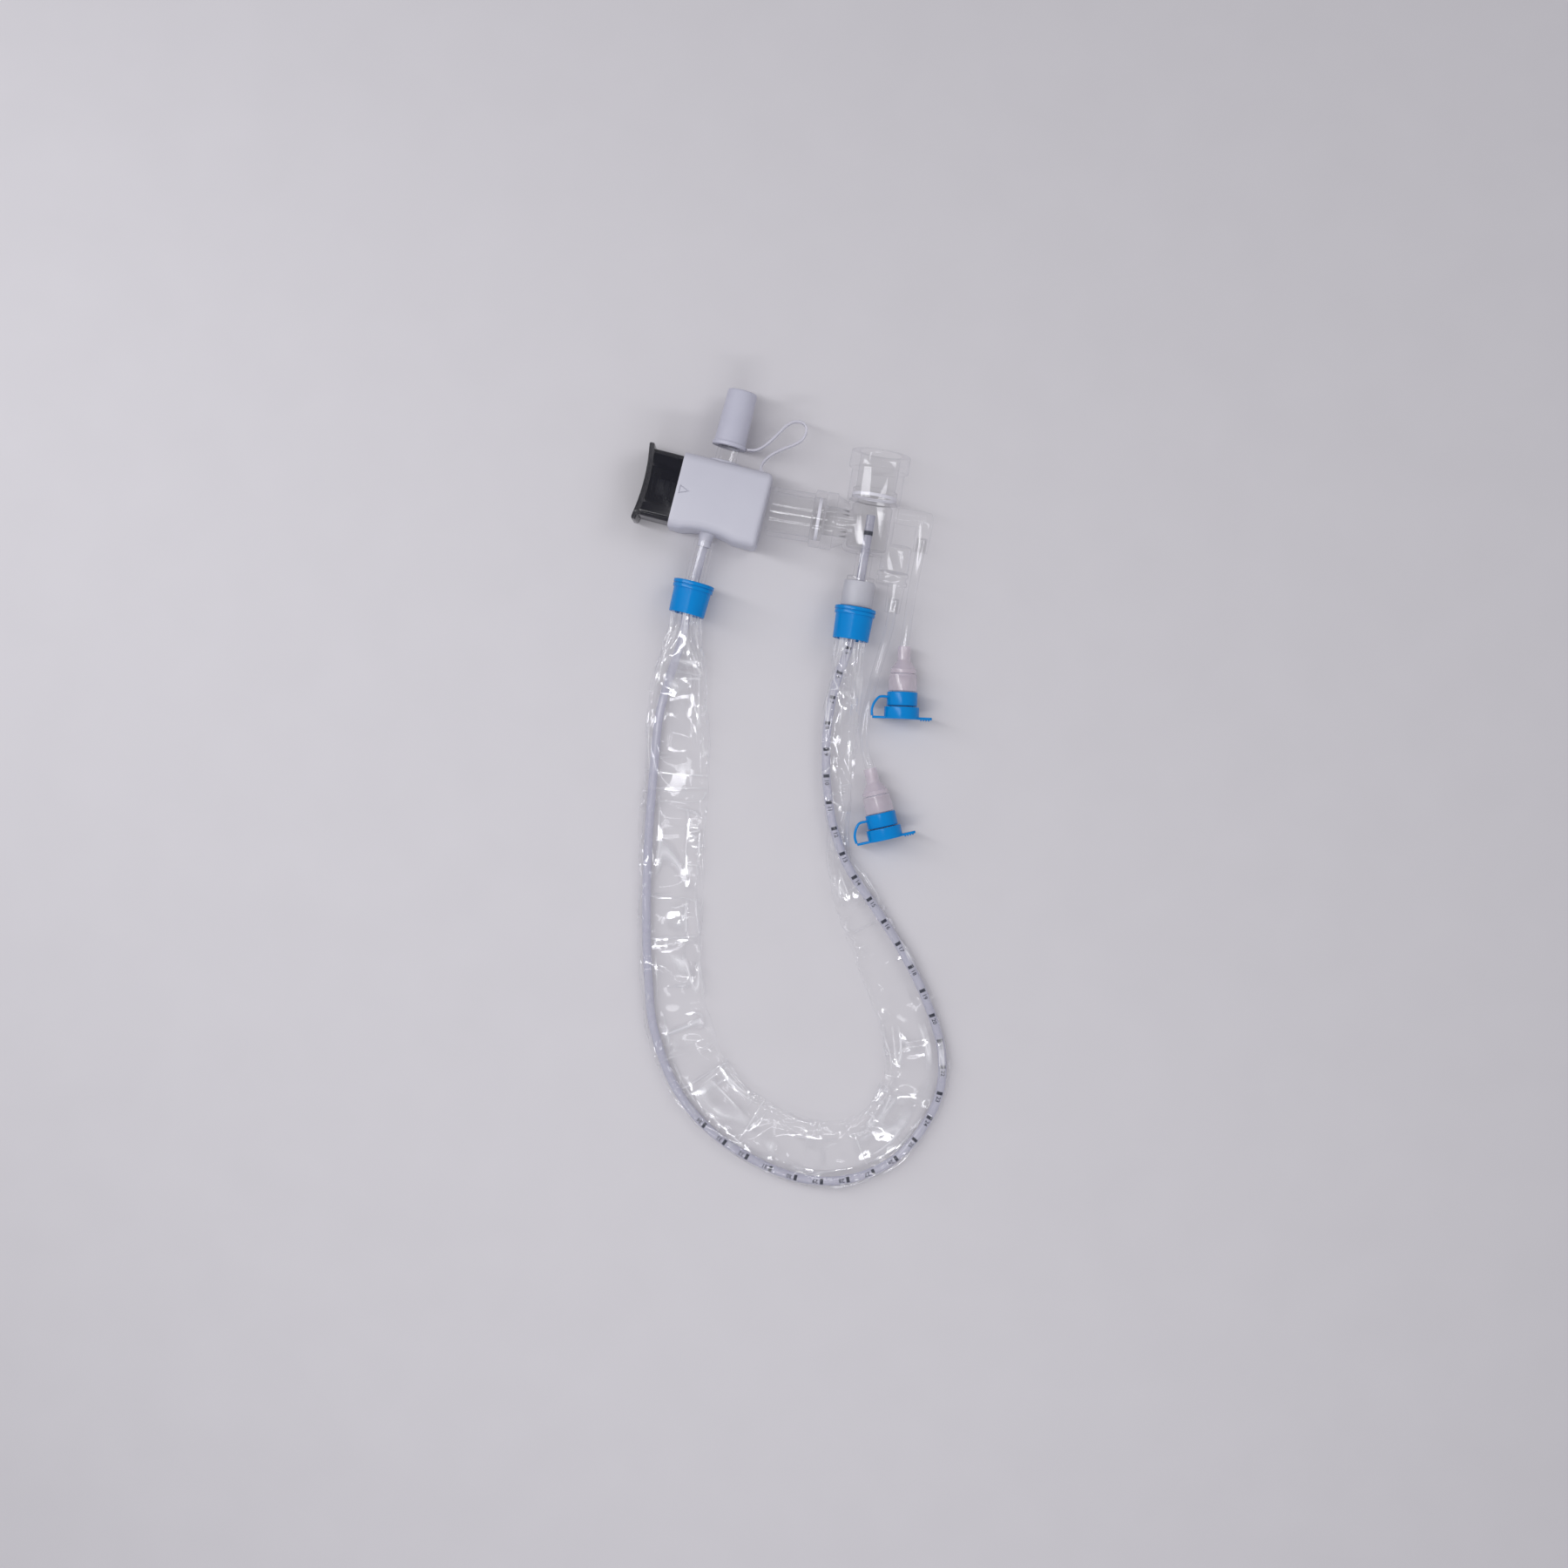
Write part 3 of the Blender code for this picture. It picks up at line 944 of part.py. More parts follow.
def add_fitting(frame):
    plug = FITTING_BOSS_RADIUS - FITTING_WALL - GAP
    start = FITTING_BOSS_END - FITTING_PLUG_LENGTH
    rim = FITTING_RIM_THICKNESS
    groove = FITTING_RIM_RADIUS - 0.6 * MM
    fitting = add_object("flush_fitting", turned_mesh("flush_fitting", [
        (start, 0.0), (start, plug), (FITTING_START, plug), (FITTING_START, FITTING_RIM_RADIUS),
        (FITTING_START + rim, FITTING_RIM_RADIUS), (FITTING_START + rim, groove),
        (FITTING_END - rim, groove), (FITTING_END - rim, FITTING_RIM_RADIUS),
        (FITTING_END, FITTING_RIM_RADIUS), (FITTING_END, 0.0)]),
        clear_plastic("fitting_clear"), frame, (FITTING_X, 0.0, 0.0), math.radians(-90))
    end = FITTING_END + FITTING_SOCKET_LENGTH
    socket = add_guide("fitting_socket", turned_mesh("fitting_socket", [
        (FITTING_END - rim, 0.0), (FITTING_END - rim, FITTING_SOCKET_RADIUS),
        (FITTING_END, FITTING_SOCKET_RADIUS), (end, FITTING_SOCKET_END_RADIUS), (end, 0.0)],
        SMALL_SIDES), frame, (FITTING_SOCKET_X, 0.0, 0.0), math.radians(-90))
    way = add_guide("fitting_way", turned_mesh("fitting_way", [
        (start - MM, 0.0), (start - MM, FLUSH_TUBE_RADIUS - 0.5 * MM),
        (end - TUBE_SOCKET_DEPTH - GAP, FLUSH_TUBE_RADIUS - 0.5 * MM),
        (end - TUBE_SOCKET_DEPTH - GAP, FLUSH_TUBE_RADIUS + GAP), (end + MM, FLUSH_TUBE_RADIUS + GAP),
        (end + MM, 0.0)], SMALL_SIDES), frame, (FITTING_SOCKET_X, 0.0, 0.0), math.radians(-90))
    combine(fitting, "UNION", [socket])
    combine(fitting, "DIFFERENCE", [way])


def add_flush_tubes(frames):
    starts = (
        (in_tee(ELBOW_REACH, ELBOW_ABOVE - ELBOW_DROP + TUBE_SOCKET_DEPTH),
         in_tee(ELBOW_REACH, ELBOW_ABOVE - ELBOW_DROP)),
        (in_tee(FITTING_SOCKET_X, -FITTING_END - FITTING_SOCKET_LENGTH + TUBE_SOCKET_DEPTH),
         in_tee(FITTING_SOCKET_X, -FITTING_END - FITTING_SOCKET_LENGTH)),
    )
    for number, (start, route, frame) in enumerate(zip(starts, FLUSH_ROUTES, frames), 1):
        points = list(start) + [Vector(point) * MM for point in route]
        points.append(frame @ Vector((0.0, 0.0, 0.0)))
        points.append(frame @ Vector((TUBE_SOCKET_DEPTH, 0.0, 0.0)))
        add_tube(f"flush_tube_{number}", smooth_points(points, 4.0 * FLUSH_TUBE_RADIUS),
                 FLUSH_TUBE_RADIUS, make_paint("flush_tube_pvc", (0.78, 0.80, 0.84), 0.2))


OUTLET_END = STEM_LENGTH + CONE_LENGTH + OUTLET_FLANGE_LENGTH
INLET_START = OUTLET_END + GAP
INLET_END = INLET_START + INLET_LENGTH
COLLAR_START = INLET_END + GAP
COLLAR_END = COLLAR_START + FLUSH_COLLAR_LENGTH
LUER_END = INLET_END + LUER_LENGTH
LID_PLATE_X = LUER_END + GAP
LID_END = LID_PLATE_X + LID_PLATE
HINGE_X = LID_PLATE_X + LID_PLATE / 2


def add_check_valve(number, frame):
    bore = LUER_BORE_RADIUS
    disc_end = OUTLET_END + DISC_THICKNESS / 2
    outline = [(0.0, FLUSH_TUBE_RADIUS + GAP), (0.0, STEM_RADIUS), (STEM_LENGTH, STEM_RADIUS),
               (STEM_LENGTH + CONE_LENGTH, OUTLET_FLANGE_RADIUS - 0.3 * MM),
               (STEM_LENGTH + CONE_LENGTH, OUTLET_FLANGE_RADIUS),
               (OUTLET_END, OUTLET_FLANGE_RADIUS), (OUTLET_END, DISC_RADIUS + GAP),
               (OUTLET_END - DISC_THICKNESS, DISC_RADIUS + GAP),
               (TUBE_SOCKET_DEPTH + GAP, MM), (TUBE_SOCKET_DEPTH + GAP, FLUSH_TUBE_RADIUS + GAP)]
    add_object(f"check_valve_outlet_{number}",
               turned_mesh("check_valve_outlet", outline, SMALL_SIDES),
               make_paint("outlet_clear", (0.80, 0.74, 0.77), 0.3, alpha=0.6), frame)
    outline = [(INLET_START, DISC_RADIUS + GAP), (INLET_START, INLET_RADIUS),
               (INLET_END, INLET_END_RADIUS), (INLET_END, LUER_RADIUS),
               (LUER_END, LUER_RADIUS), (LUER_END, bore), (disc_end + 2 * GAP + MM, bore),
               (disc_end + 2 * GAP, DISC_RADIUS + GAP)]
    add_object(f"check_valve_inlet_{number}",
               turned_mesh("check_valve_inlet", outline, SMALL_SIDES),
               make_paint("inlet_clear", (0.80, 0.74, 0.77), 0.3, alpha=0.6), frame)
    add_object(f"check_valve_disc_{number}", turned_mesh("check_valve_disc", bar_outline(
        disc_end + GAP - DISC_THICKNESS, disc_end + GAP, DISC_RADIUS), SMALL_SIDES),
        silicone("disc_silicone"), frame)


def add_collar(number, frame):
    bore = LUER_RADIUS + GAP
    collar = add_object(f"flush_collar_{number}", turned_mesh("flush_collar", [
        (COLLAR_START, bore), (COLLAR_START, FLUSH_COLLAR_RADIUS - 0.3 * MM),
        (COLLAR_START + 0.4 * MM, FLUSH_COLLAR_RADIUS), (COLLAR_END, FLUSH_COLLAR_RADIUS),
        (COLLAR_END, bore)], SMALL_SIDES), blue_plastic("collar_blue"), frame)
    out = HINGE_REACH + STRAP_BULGE
    leave = COLLAR_START + 2.0 * MM
    strap_route = [(leave, FLUSH_COLLAR_RADIUS - 0.7 * MM),
                   (leave, FLUSH_COLLAR_RADIUS + 2.4 * MM),
                   (leave + 1.2 * MM, out - 1.6 * MM), (leave + 3.4 * MM, out - 0.4 * MM),
                   (HINGE_X - 2.4 * MM, out), (HINGE_X - 0.7 * MM, out - 0.2 * MM)]
    rings = []
    for place, (along, reach) in enumerate(strap_route):
        near = strap_route[max(0, place - 1)]
        far = strap_route[min(len(strap_route) - 1, place + 1)]
        way = Vector((far[0] - near[0], near[1] - far[1], 0.0)).normalized()
        side = Vector((-way.y, way.x, 0.0)) * STRAP_THICKNESS / 2
        centre = Vector((along, -reach, 0.0))
        lift = Vector((0.0, 0.0, STRAP_WIDTH / 2))
        rings.append([centre + side + lift, centre - side + lift, centre - side - lift,
                      centre + side - lift])
    strap = add_guide(f"strap_guide_{number}", loft_mesh("strap_guide", rings), frame)
    combine(collar, "UNION", [strap])


def add_lid(number, frame):
    # The lid's frame has its origin on the hinge line.
    hinge = add_frame(f"lid_hinge_{number}", (0.0, 0.0, 0.0))
    hinge.parent = frame
    hinge.location = (HINGE_X, -HINGE_REACH, 0.0)
    skirt_start = LID_END - LID_LENGTH
    bore = LID_RADIUS - LID_WALL
    lid = add_object(f"flush_lid_{number}", turned_mesh("flush_lid", [
        (skirt_start, bore), (skirt_start, LID_RADIUS - 0.2 * MM),
        (skirt_start + 0.3 * MM, LID_RADIUS), (LID_END - 0.3 * MM, LID_RADIUS),
        (LID_END, LID_RADIUS - 0.3 * MM), (LID_END, 0.0),
        (LID_PLATE_X - LID_PLUG_LENGTH, 0.0), (LID_PLATE_X - LID_PLUG_LENGTH, LID_PLUG_RADIUS),
        (LID_PLATE_X, LID_PLUG_RADIUS), (LID_PLATE_X, bore)]), blue_plastic("lid_blue"), hinge,
        (-HINGE_X, HINGE_REACH, 0.0))
    half = LID_TAB_WIDTH / 2
    thick = LID_PLATE - 0.1 * MM
    plate = []
    sections = ((-HINGE_REACH, STRAP_WIDTH / 2), (-LID_RADIUS, STRAP_WIDTH / 2),
                (-LID_RADIUS + 2 * MM, half), (LID_RADIUS - 2 * MM, half),
                (LID_TAB_REACH - 0.8 * MM, half), (LID_TAB_REACH, half - 0.8 * MM))
    for across, reach in sections:
        plate.append([(LID_END - thick, across, -reach), (LID_END, across, -reach),
                      (LID_END, across, reach), (LID_END - thick, across, reach)])
    tab = add_guide(f"tab_guide_{number}", loft_mesh("tab_guide", plate), hinge,
                    (-HINGE_X, HINGE_REACH, 0.0))
    combine(lid, "UNION", [tab])


def build():
    clear_scene()
    valve = add_frame("valve_frame", VALVE_PLACE, VALVE_TURN)
    tee = add_frame("tee_frame", TEE_PLACE)
    add_housing(valve)
    add_button(valve)
    add_piston(valve)
    add_piston_seals(valve)
    add_barrel(valve)
    add_spring(valve)
    add_stub(valve)
    add_cap(valve)
    add_tether()
    add_adapter(valve)
    add_sleeve_rings(valve, tee)
    add_tee(tee)
    add_swivels(tee)
    add_seal_housing(tee)
    add_elbow(tee)
    add_fitting(tee)
    add_catheter()
    add_sleeve()
    places = []
    for number, (start, heading) in enumerate(CHECK_VALVES, 1):
        place = Vector((*start, LID_RADIUS + FLOOR_GAP))
        frame = add_frame(f"check_valve_frame_{number}", place, heading)
        places.append(Matrix.Translation(place) @ Matrix.Rotation(heading, 4, "Z"))
        add_check_valve(number, frame)
        add_collar(number, frame)
        add_lid(number, frame)
    add_flush_tubes(places)


build()
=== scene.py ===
import math

import bmesh
import bpy
from mathutils import Matrix, Vector, kdtree, noise


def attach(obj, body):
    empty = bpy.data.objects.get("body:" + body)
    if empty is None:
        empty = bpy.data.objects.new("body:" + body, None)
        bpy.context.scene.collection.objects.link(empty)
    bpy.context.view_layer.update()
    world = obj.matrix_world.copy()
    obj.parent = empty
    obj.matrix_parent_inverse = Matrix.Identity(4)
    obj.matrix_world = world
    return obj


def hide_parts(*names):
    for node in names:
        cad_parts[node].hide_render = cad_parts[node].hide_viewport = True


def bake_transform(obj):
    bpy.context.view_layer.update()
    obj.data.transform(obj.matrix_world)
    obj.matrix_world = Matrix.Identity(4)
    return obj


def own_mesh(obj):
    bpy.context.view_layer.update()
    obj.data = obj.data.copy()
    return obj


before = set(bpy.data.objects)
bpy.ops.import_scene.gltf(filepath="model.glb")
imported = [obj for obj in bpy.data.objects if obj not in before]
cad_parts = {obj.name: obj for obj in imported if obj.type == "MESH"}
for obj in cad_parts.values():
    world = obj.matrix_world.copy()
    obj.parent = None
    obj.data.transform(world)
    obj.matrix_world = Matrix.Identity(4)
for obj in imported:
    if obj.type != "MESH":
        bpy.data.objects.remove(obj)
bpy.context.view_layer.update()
mm = 0.001
print("frame loaded")


def linearColour(code, alpha=1.0):
    # sRGB hex to the linear values that Blender's sockets take
    parts = [int(code[i:i + 2], 16) / 255 for i in (1, 3, 5)]
    return (*[p / 12.92 if p <= 0.04045 else ((p + 0.055) / 1.055) ** 2.4 for p in parts], alpha)


def addNode(tree, kind, inputs=None, **settings):
    # inputs holds plain values, or sockets to link from
    node = tree.nodes.new(kind)
    for name, value in settings.items():
        setattr(node, name, value)
    for name, value in (inputs or {}).items():
        if isinstance(value, bpy.types.NodeSocket):
            tree.links.new(value, node.inputs[name])
        else:
            node.inputs[name].default_value = value
    return node


def startMaterial(name, values):
    material = bpy.data.materials.new(name)
    material.use_nodes = True
    tree = material.node_tree
    shader = tree.nodes["Principled BSDF"]
    for socket, value in values.items():
        shader.inputs[socket].default_value = value
    coords = addNode(tree, "ShaderNodeTexCoord").outputs["Object"]
    return material, tree, shader, coords


def addNoise(tree, coords, cell, detail=2.0):
    # cell is the size of the pattern's patches in metres
    noiseNode = addNode(tree, "ShaderNodeTexNoise", {"Vector": coords, "Scale": 1 / cell,
                                                     "Detail": detail})
    return noiseNode.outputs["Fac"]


def tintBetween(tree, shader, factor, dark, light):
    ramp = addNode(tree, "ShaderNodeMix", {0: factor}, data_type="RGBA")
    ramp.inputs[6].default_value = linearColour(dark)
    ramp.inputs[7].default_value = linearColour(light)
    tree.links.new(ramp.outputs[2], shader.inputs["Base Color"])


def roughBetween(tree, shader, factor, low, high):
    spread = addNode(tree, "ShaderNodeMapRange", {"Value": factor, "To Min": low, "To Max": high})
    tree.links.new(spread.outputs["Result"], shader.inputs["Roughness"])


def addBump(tree, shader, height, strength, depth):
    bump = addNode(tree, "ShaderNodeBump", {"Height": height, "Strength": strength,
                                            "Distance": depth})
    tree.links.new(bump.outputs["Normal"], shader.inputs["Normal"])


# Camera, floor and light

cameraView = {
    "above": (40.7 * mm, -100.0 * mm, 820 * mm),
    "roll": math.radians(9.5),
    "lens": 49.66,
}


def makeCamera():
    data = bpy.data.cameras.new("overheadCamera")
    data.lens = cameraView["lens"]
    data.sensor_width = 36
    data.clip_start = 0.01
    camera = bpy.data.objects.new("overheadCamera", data)
    camera.location = cameraView["above"]
    camera.rotation_euler = (0, 0, cameraView["roll"])
    bpy.context.scene.collection.objects.link(camera)
    bpy.context.scene.camera = camera


studio = {
    "floorSize": 4.0,
    "world": "#e2e1e5",
    "worldStrength": 0.58,
    "key": {"place": (0.50, 0.42, 0.80), "size": (0.4, 0.4), "power": 1.3},
    "strip": {"place": (-0.38, 0.10, 0.55), "size": (0.09, 0.8), "power": 2.1},
    "lowStrip": {"place": (0.05, -0.38, 0.50), "size": (0.6, 0.06), "power": 0.85},
}


def makeStudio():
    scene = bpy.context.scene
    scene.view_settings.view_transform = "Standard"
    world = bpy.data.worlds.new("studioAir")
    world.use_nodes = True
    sky = world.node_tree.nodes["Background"]
    sky.inputs["Color"].default_value = linearColour(studio["world"])
    sky.inputs["Strength"].default_value = studio["worldStrength"]
    scene.world = world
    half = studio["floorSize"] / 2
    mesh = bpy.data.meshes.new("floor")
    mesh.from_pydata([(-half, -half, 0), (half, -half, 0), (half, half, 0), (-half, half, 0)],
                     [], [(0, 1, 2, 3)])
    material, tree, shader, coords = startMaterial("paperFloor", {
        "Roughness": 0.9, "Specular IOR Level": 0.2})
    tintBetween(tree, shader, addNoise(tree, coords, 25 * mm), "#c9c7cc", "#cdcbd0")
    mesh.materials.append(material)
    floor = bpy.data.objects.new("floor", mesh)
    scene.collection.objects.link(floor)
    for name in ("key", "strip", "lowStrip"):
        facts = studio[name]
        lamp = bpy.data.lights.new(name, "AREA")
        lamp.shape = "RECTANGLE"
        lamp.size, lamp.size_y = facts["size"]
        lamp.energy = facts["power"]
        thing = bpy.data.objects.new(name, lamp)
        place = Vector(facts["place"]) + Vector((0.04, -0.1, 0))
        aim = Vector((0.04, -0.1, 0)) - place
        thing.location = place
        thing.rotation_euler = aim.to_track_quat("-Z", "Y").to_euler()
        thing.visible_glossy = name != "key"
        scene.collection.objects.link(thing)


def facingPower(tree, power=3.0):
    # 0 where a face looks straight at the eye, 1 where it turns away
    weight = addNode(tree, "ShaderNodeLayerWeight", {"Blend": 0.5}).outputs["Facing"]
    return addNode(tree, "ShaderNodeMath", {0: weight, 1: power}, operation="POWER").outputs[0]


def alphaByAngle(tree, shader, facing, grazing, power=3.0):
    seen = addNode(tree, "ShaderNodeMapRange", {"Value": facingPower(tree, power),
                                                "To Min": facing, "To Max": grazing})
    tree.links.new(seen.outputs["Result"], shader.inputs["Alpha"])


# Paints shade on turned-away edges: the grazing colour is a painted edge shade where a face turns from the
# eye
def tintByAngle(tree, shader, facing, grazing):
    tintBetween(tree, shader, facingPower(tree, 2.0), facing, grazing)


def mirrorByAngle(tree, shader, diffuseShare):
    # A mirror where the given share is 0, plain diffuse colour where it is 1; the callers put painted edge
    # shade and painted fold and edge highlight in that plain colour
    mirror = addNode(tree, "ShaderNodeMath", {0: 1.0, 1: diffuseShare}, operation="SUBTRACT",
                     use_clamp=True)
    tree.links.new(mirror.outputs[0], shader.inputs["Metallic"])


# Forms. Meshes are made in millimetres about their own axis and then put in their place.

def closeMesh(form):
    bmesh.ops.recalc_face_normals(form, faces=form.faces)
    mesh = bpy.data.meshes.new("form")
    form.to_mesh(mesh)
    form.free()
    return mesh


def softened(outline, soft, steps=4):
    # Rounds each corner of a closed outline, but not on the axis; a third number is its own reach
    points = []
    for k, corner in enumerate(outline):
        here = Vector(corner[:2])
        back = Vector(outline[k - 1][:2]) - here
        front = Vector(outline[(k + 1) % len(outline)][:2]) - here
        reach = min(corner[2] if len(corner) > 2 else soft, 0.45 * back.length, 0.45 * front.length)
        if here.y < 1e-6 or reach < 1e-4 or back.angle(front) > math.radians(168):
            points.append(here)
            continue
        start = here + back.normalized() * reach
        end = here + front.normalized() * reach
        for step in range(steps + 1):
            t = step / steps
            points.append((1 - t) ** 2 * start + 2 * t * (1 - t) * here + t ** 2 * end)
    return points


def turnedMesh(outline, sides=96, soft=0.25):
    # The outline is a closed loop of (distance along X, radius), turned about X
    form = bmesh.new()
    rows = []
    for along, radius in softened(outline, soft):
        count = sides if radius > 1e-6 else 1
        rows.append([form.verts.new((along, radius * math.cos(2 * math.pi * k / sides),
                                     radius * math.sin(2 * math.pi * k / sides)))
                     for k in range(count)])
    for near, far in zip(rows, rows[1:] + rows[:1]):
        if len(near) == 1 and len(far) == 1:
            continue
        for k in range(sides):
            n = (k + 1) % sides
            corners = [near[k % len(near)], near[n % len(near)], far[n % len(far)],
                       far[k % len(far)]]
            form.faces.new(list(dict.fromkeys(corners)))
    return closeMesh(form)


def rodMesh(low, high, radius, sides=48):
    return turnedMesh([(low, 0.0), (low, radius), (high, radius), (high, 0.0)], sides, 0)


def loftMesh(rings, wrap=False):
    form = bmesh.new()
    rows = [[form.verts.new(point) for point in ring] for ring in rings]
    count = len(rows[0])
    for near, far in zip(rows, rows[1:] + (rows[:1] if wrap else [])):
        for k in range(count):
            n = (k + 1) % count
            form.faces.new((near[k], near[n], far[n], far[k]))
    if not wrap:
        form.faces.new(rows[0])
        form.faces.new(rows[-1])
    return closeMesh(form)


def boxMesh(low, high, bevel):
    form = bmesh.new()
    bmesh.ops.create_cube(form, size=1.0)
    middle = (Vector(low) + Vector(high)) / 2
    for corner in form.verts:
        corner.co = middle + Vector(c * (h - l) for c, l, h in zip(corner.co, low, high))
    bmesh.ops.bevel(form, geom=form.edges[:], offset=bevel, segments=3, affect="EDGES", profile=0.5)
    return closeMesh(form)


def roundedSection(left, right, low, high, corner, steps=8):
    # Points (across, up) of a rectangle with round corners
    points = []
    for side, level, inX, inY, start in ((right, high, -1, -1, 0), (left, high, 1, -1, 90),
                                         (left, low, 1, 1, 180), (right, low, -1, 1, 270)):
        for step in range(steps + 1):
            angle = math.radians(start + 90 * step / steps)
            points.append((side + inX * corner + corner * math.cos(angle),
                           level + inY * corner + corner * math.sin(angle)))
    return points


def smoothRoute(route, spacing):
    # Evenly spaced points of a smooth curve through the route's own points
    points = [Vector(point) for point in route]
    points = [2 * points[0] - points[1]] + points + [2 * points[-1] - points[-2]]
    fine = []
    for a, b, c, d in zip(points, points[1:], points[2:], points[3:]):
        for step in range(24):
            t = step / 24
            fine.append(0.5 * (2 * b + (c - a) * t + (2 * a - 5 * b + 4 * c - d) * t ** 2
                               + (3 * b - a - 3 * c + d) * t ** 3))
    fine.append(points[-2])
    lengths = [0.0]
    for near, far in zip(fine, fine[1:]):
        lengths.append(lengths[-1] + (Vector(far[:3]) - Vector(near[:3])).length)
    count = max(2, round(lengths[-1] / spacing))
    even = []
    place = 0
    for step in range(count + 1):
        goal = lengths[-1] * step / count
        while place < len(lengths) - 2 and lengths[place + 1] < goal:
            place += 1
        share = (goal - lengths[place]) / (lengths[place + 1] - lengths[place])
        even.append(fine[place].lerp(fine[place + 1], min(1.0, share)))
    return even


def routeLength(points):
    return sum((b - a).length for a, b in zip(points, points[1:]))


def directionAt(points, k):
    return (points[min(k + 1, len(points) - 1)] - points[max(k - 1, 0)]).normalized()


def tubeMesh(points, radius, sides=24, ups=None):
    rings = []
    for k, point in enumerate(points):
        along = directionAt(points, k)
        side = along.cross(ups[k] if ups else Vector((0, 0, 1))).normalized()
        up = side.cross(along)
        rings.append([point + radius * (side * math.cos(2 * math.pi * n / sides)
                                        + up * math.sin(2 * math.pi * n / sides))
                      for n in range(sides)])
    return loftMesh(rings)


def stripMesh(points, thickness, width, corner, level=0.0, foot=None, footLength=0.0):
    # A flat strip that stands on edge along its route, and may spread into a foot at its end
    rings = []
    for k, point in enumerate(points):
        along = directionAt(points, k)
        side = Vector((-along.y, along.x, 0))
        spread = max(0.0, 1.0 - (len(points) - 1 - k) / 2.2) if foot is not None else 0.0
        if spread > 0:
            side = side.lerp(foot, spread).normalized()
        reach = thickness / 2 + (footLength - thickness) / 2 * spread ** 2
        section = roundedSection(-reach, reach, -width / 2, width / 2, corner, 4)
        rings.append([point + side * across + Vector((0, 0, level + up)) for across, up in section])
    return loftMesh(rings)


def newObject(name, data):
    thing = bpy.data.objects.new(name, data)
    bpy.context.scene.collection.objects.link(thing)
    return thing


def bakeModifiers(thing):
    # The object's mesh with its modifiers worked in; the object itself goes
    bpy.context.view_layer.update()
    graph = bpy.context.evaluated_depsgraph_get()
    mesh = bpy.data.meshes.new_from_object(thing.evaluated_get(graph))
    bpy.data.objects.remove(thing, do_unlink=True)
    return mesh


def combine(base, steps):
    # steps holds (operation, mesh, where it stands in millimetres)
    body = newObject("body", base)
    helpers = []
    for operation, mesh, at in steps:
        mesh.transform(at)
        helper = newObject("helper", mesh)
        step = body.modifiers.new("step", "BOOLEAN")
        step.operation = operation
        step.solver = "EXACT"
        step.object = helper
        helpers.append(helper)
    mesh = bakeModifiers(body)
    for helper in helpers:
        bpy.data.objects.remove(helper, do_unlink=True)
    return mesh


def addPiece(name, mesh, at, paint, body="root", nodes=(), sharp=38):
    mesh.name = name
    mesh.transform(at @ Matrix.Scale(mm, 4))
    mesh.shade_smooth()
    mesh.set_sharp_from_angle(angle=math.radians(sharp))
    mesh.materials.clear()
    mesh.materials.append(paints[paint][0])
    thing = newObject(name, mesh)
    if body:
        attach(thing, body)
    if nodes:
        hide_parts(*nodes)
    return thing


def repeatAlong(name, line, stamp, spacing, paint, upward=(0, 0, 1)):
    # Geometry Nodes: stands the small mesh stamp at even steps along a line of points
    tree = bpy.data.node_groups.new(name, "GeometryNodeTree")
    tree.interface.new_socket("Line", in_out="INPUT", socket_type="NodeSocketGeometry")
    gap = tree.interface.new_socket("Spacing", in_out="INPUT", socket_type="NodeSocketFloat")
    up = tree.interface.new_socket("Upward", in_out="INPUT", socket_type="NodeSocketVector")
    coat = tree.interface.new_socket("Paint", in_out="INPUT", socket_type="NodeSocketMaterial")
    tree.interface.new_socket("Pieces", in_out="OUTPUT", socket_type="NodeSocketGeometry")
    start = addNode(tree, "NodeGroupInput")
    curve = addNode(tree, "GeometryNodeMeshToCurve", {"Mesh": start.outputs["Line"]})
    steps = addNode(tree, "GeometryNodeResampleCurve", {
        "Curve": curve.outputs["Curve"], "Length": start.outputs["Spacing"]}, mode="LENGTH")
    turn = addNode(tree, "FunctionNodeAxesToRotation", {
        "Primary Axis": addNode(tree, "GeometryNodeInputTangent").outputs["Tangent"],
        "Secondary Axis": start.outputs["Upward"]}, primary_axis="X", secondary_axis="Z")
    stampObject = newObject("stamp", stamp)
    source = addNode(tree, "GeometryNodeObjectInfo", {"Object": stampObject})
    copies = addNode(tree, "GeometryNodeInstanceOnPoints", {
        "Points": steps.outputs["Curve"], "Instance": source.outputs["Geometry"],
        "Rotation": turn.outputs["Rotation"]})
    solid = addNode(tree, "GeometryNodeRealizeInstances", {"Geometry": copies.outputs["Instances"]})
    painted = addNode(tree, "GeometryNodeSetMaterial", {
        "Geometry": solid.outputs["Geometry"], "Material": start.outputs["Paint"]})
    addNode(tree, "NodeGroupOutput", {"Pieces": painted.outputs["Geometry"]})
    lineMesh = bpy.data.meshes.new(name)
    lineMesh.from_pydata(line, [(k, k + 1) for k in range(len(line) - 1)], [])
    carrier = newObject(name, lineMesh)
    step = carrier.modifiers.new(name, "NODES")
    step.node_group = tree
    step[gap.identifier] = spacing
    step[up.identifier] = upward
    step[coat.identifier] = paints[paint][0]
    mesh = bakeModifiers(carrier)
    bpy.data.objects.remove(stampObject, do_unlink=True)
    return mesh


def joinMeshes(meshes):
    form = bmesh.new()
    for mesh in meshes:
        form.from_mesh(mesh)
    return closeMesh(form)


def turned(degrees):
    return Matrix.Rotation(math.radians(degrees), 4, "Z")


def shifted(x, y=0.0, z=0.0):
    return Matrix.Translation((x, y, z))


# Materials. Each is a function that returns the material, and paints names its record slot.

def glow(weight, depth):
    # Light that soaks into the surface, by depth in millimetres
    return {"Subsurface Weight": weight, "Subsurface Radius": (depth * mm, depth * mm, depth * mm)}


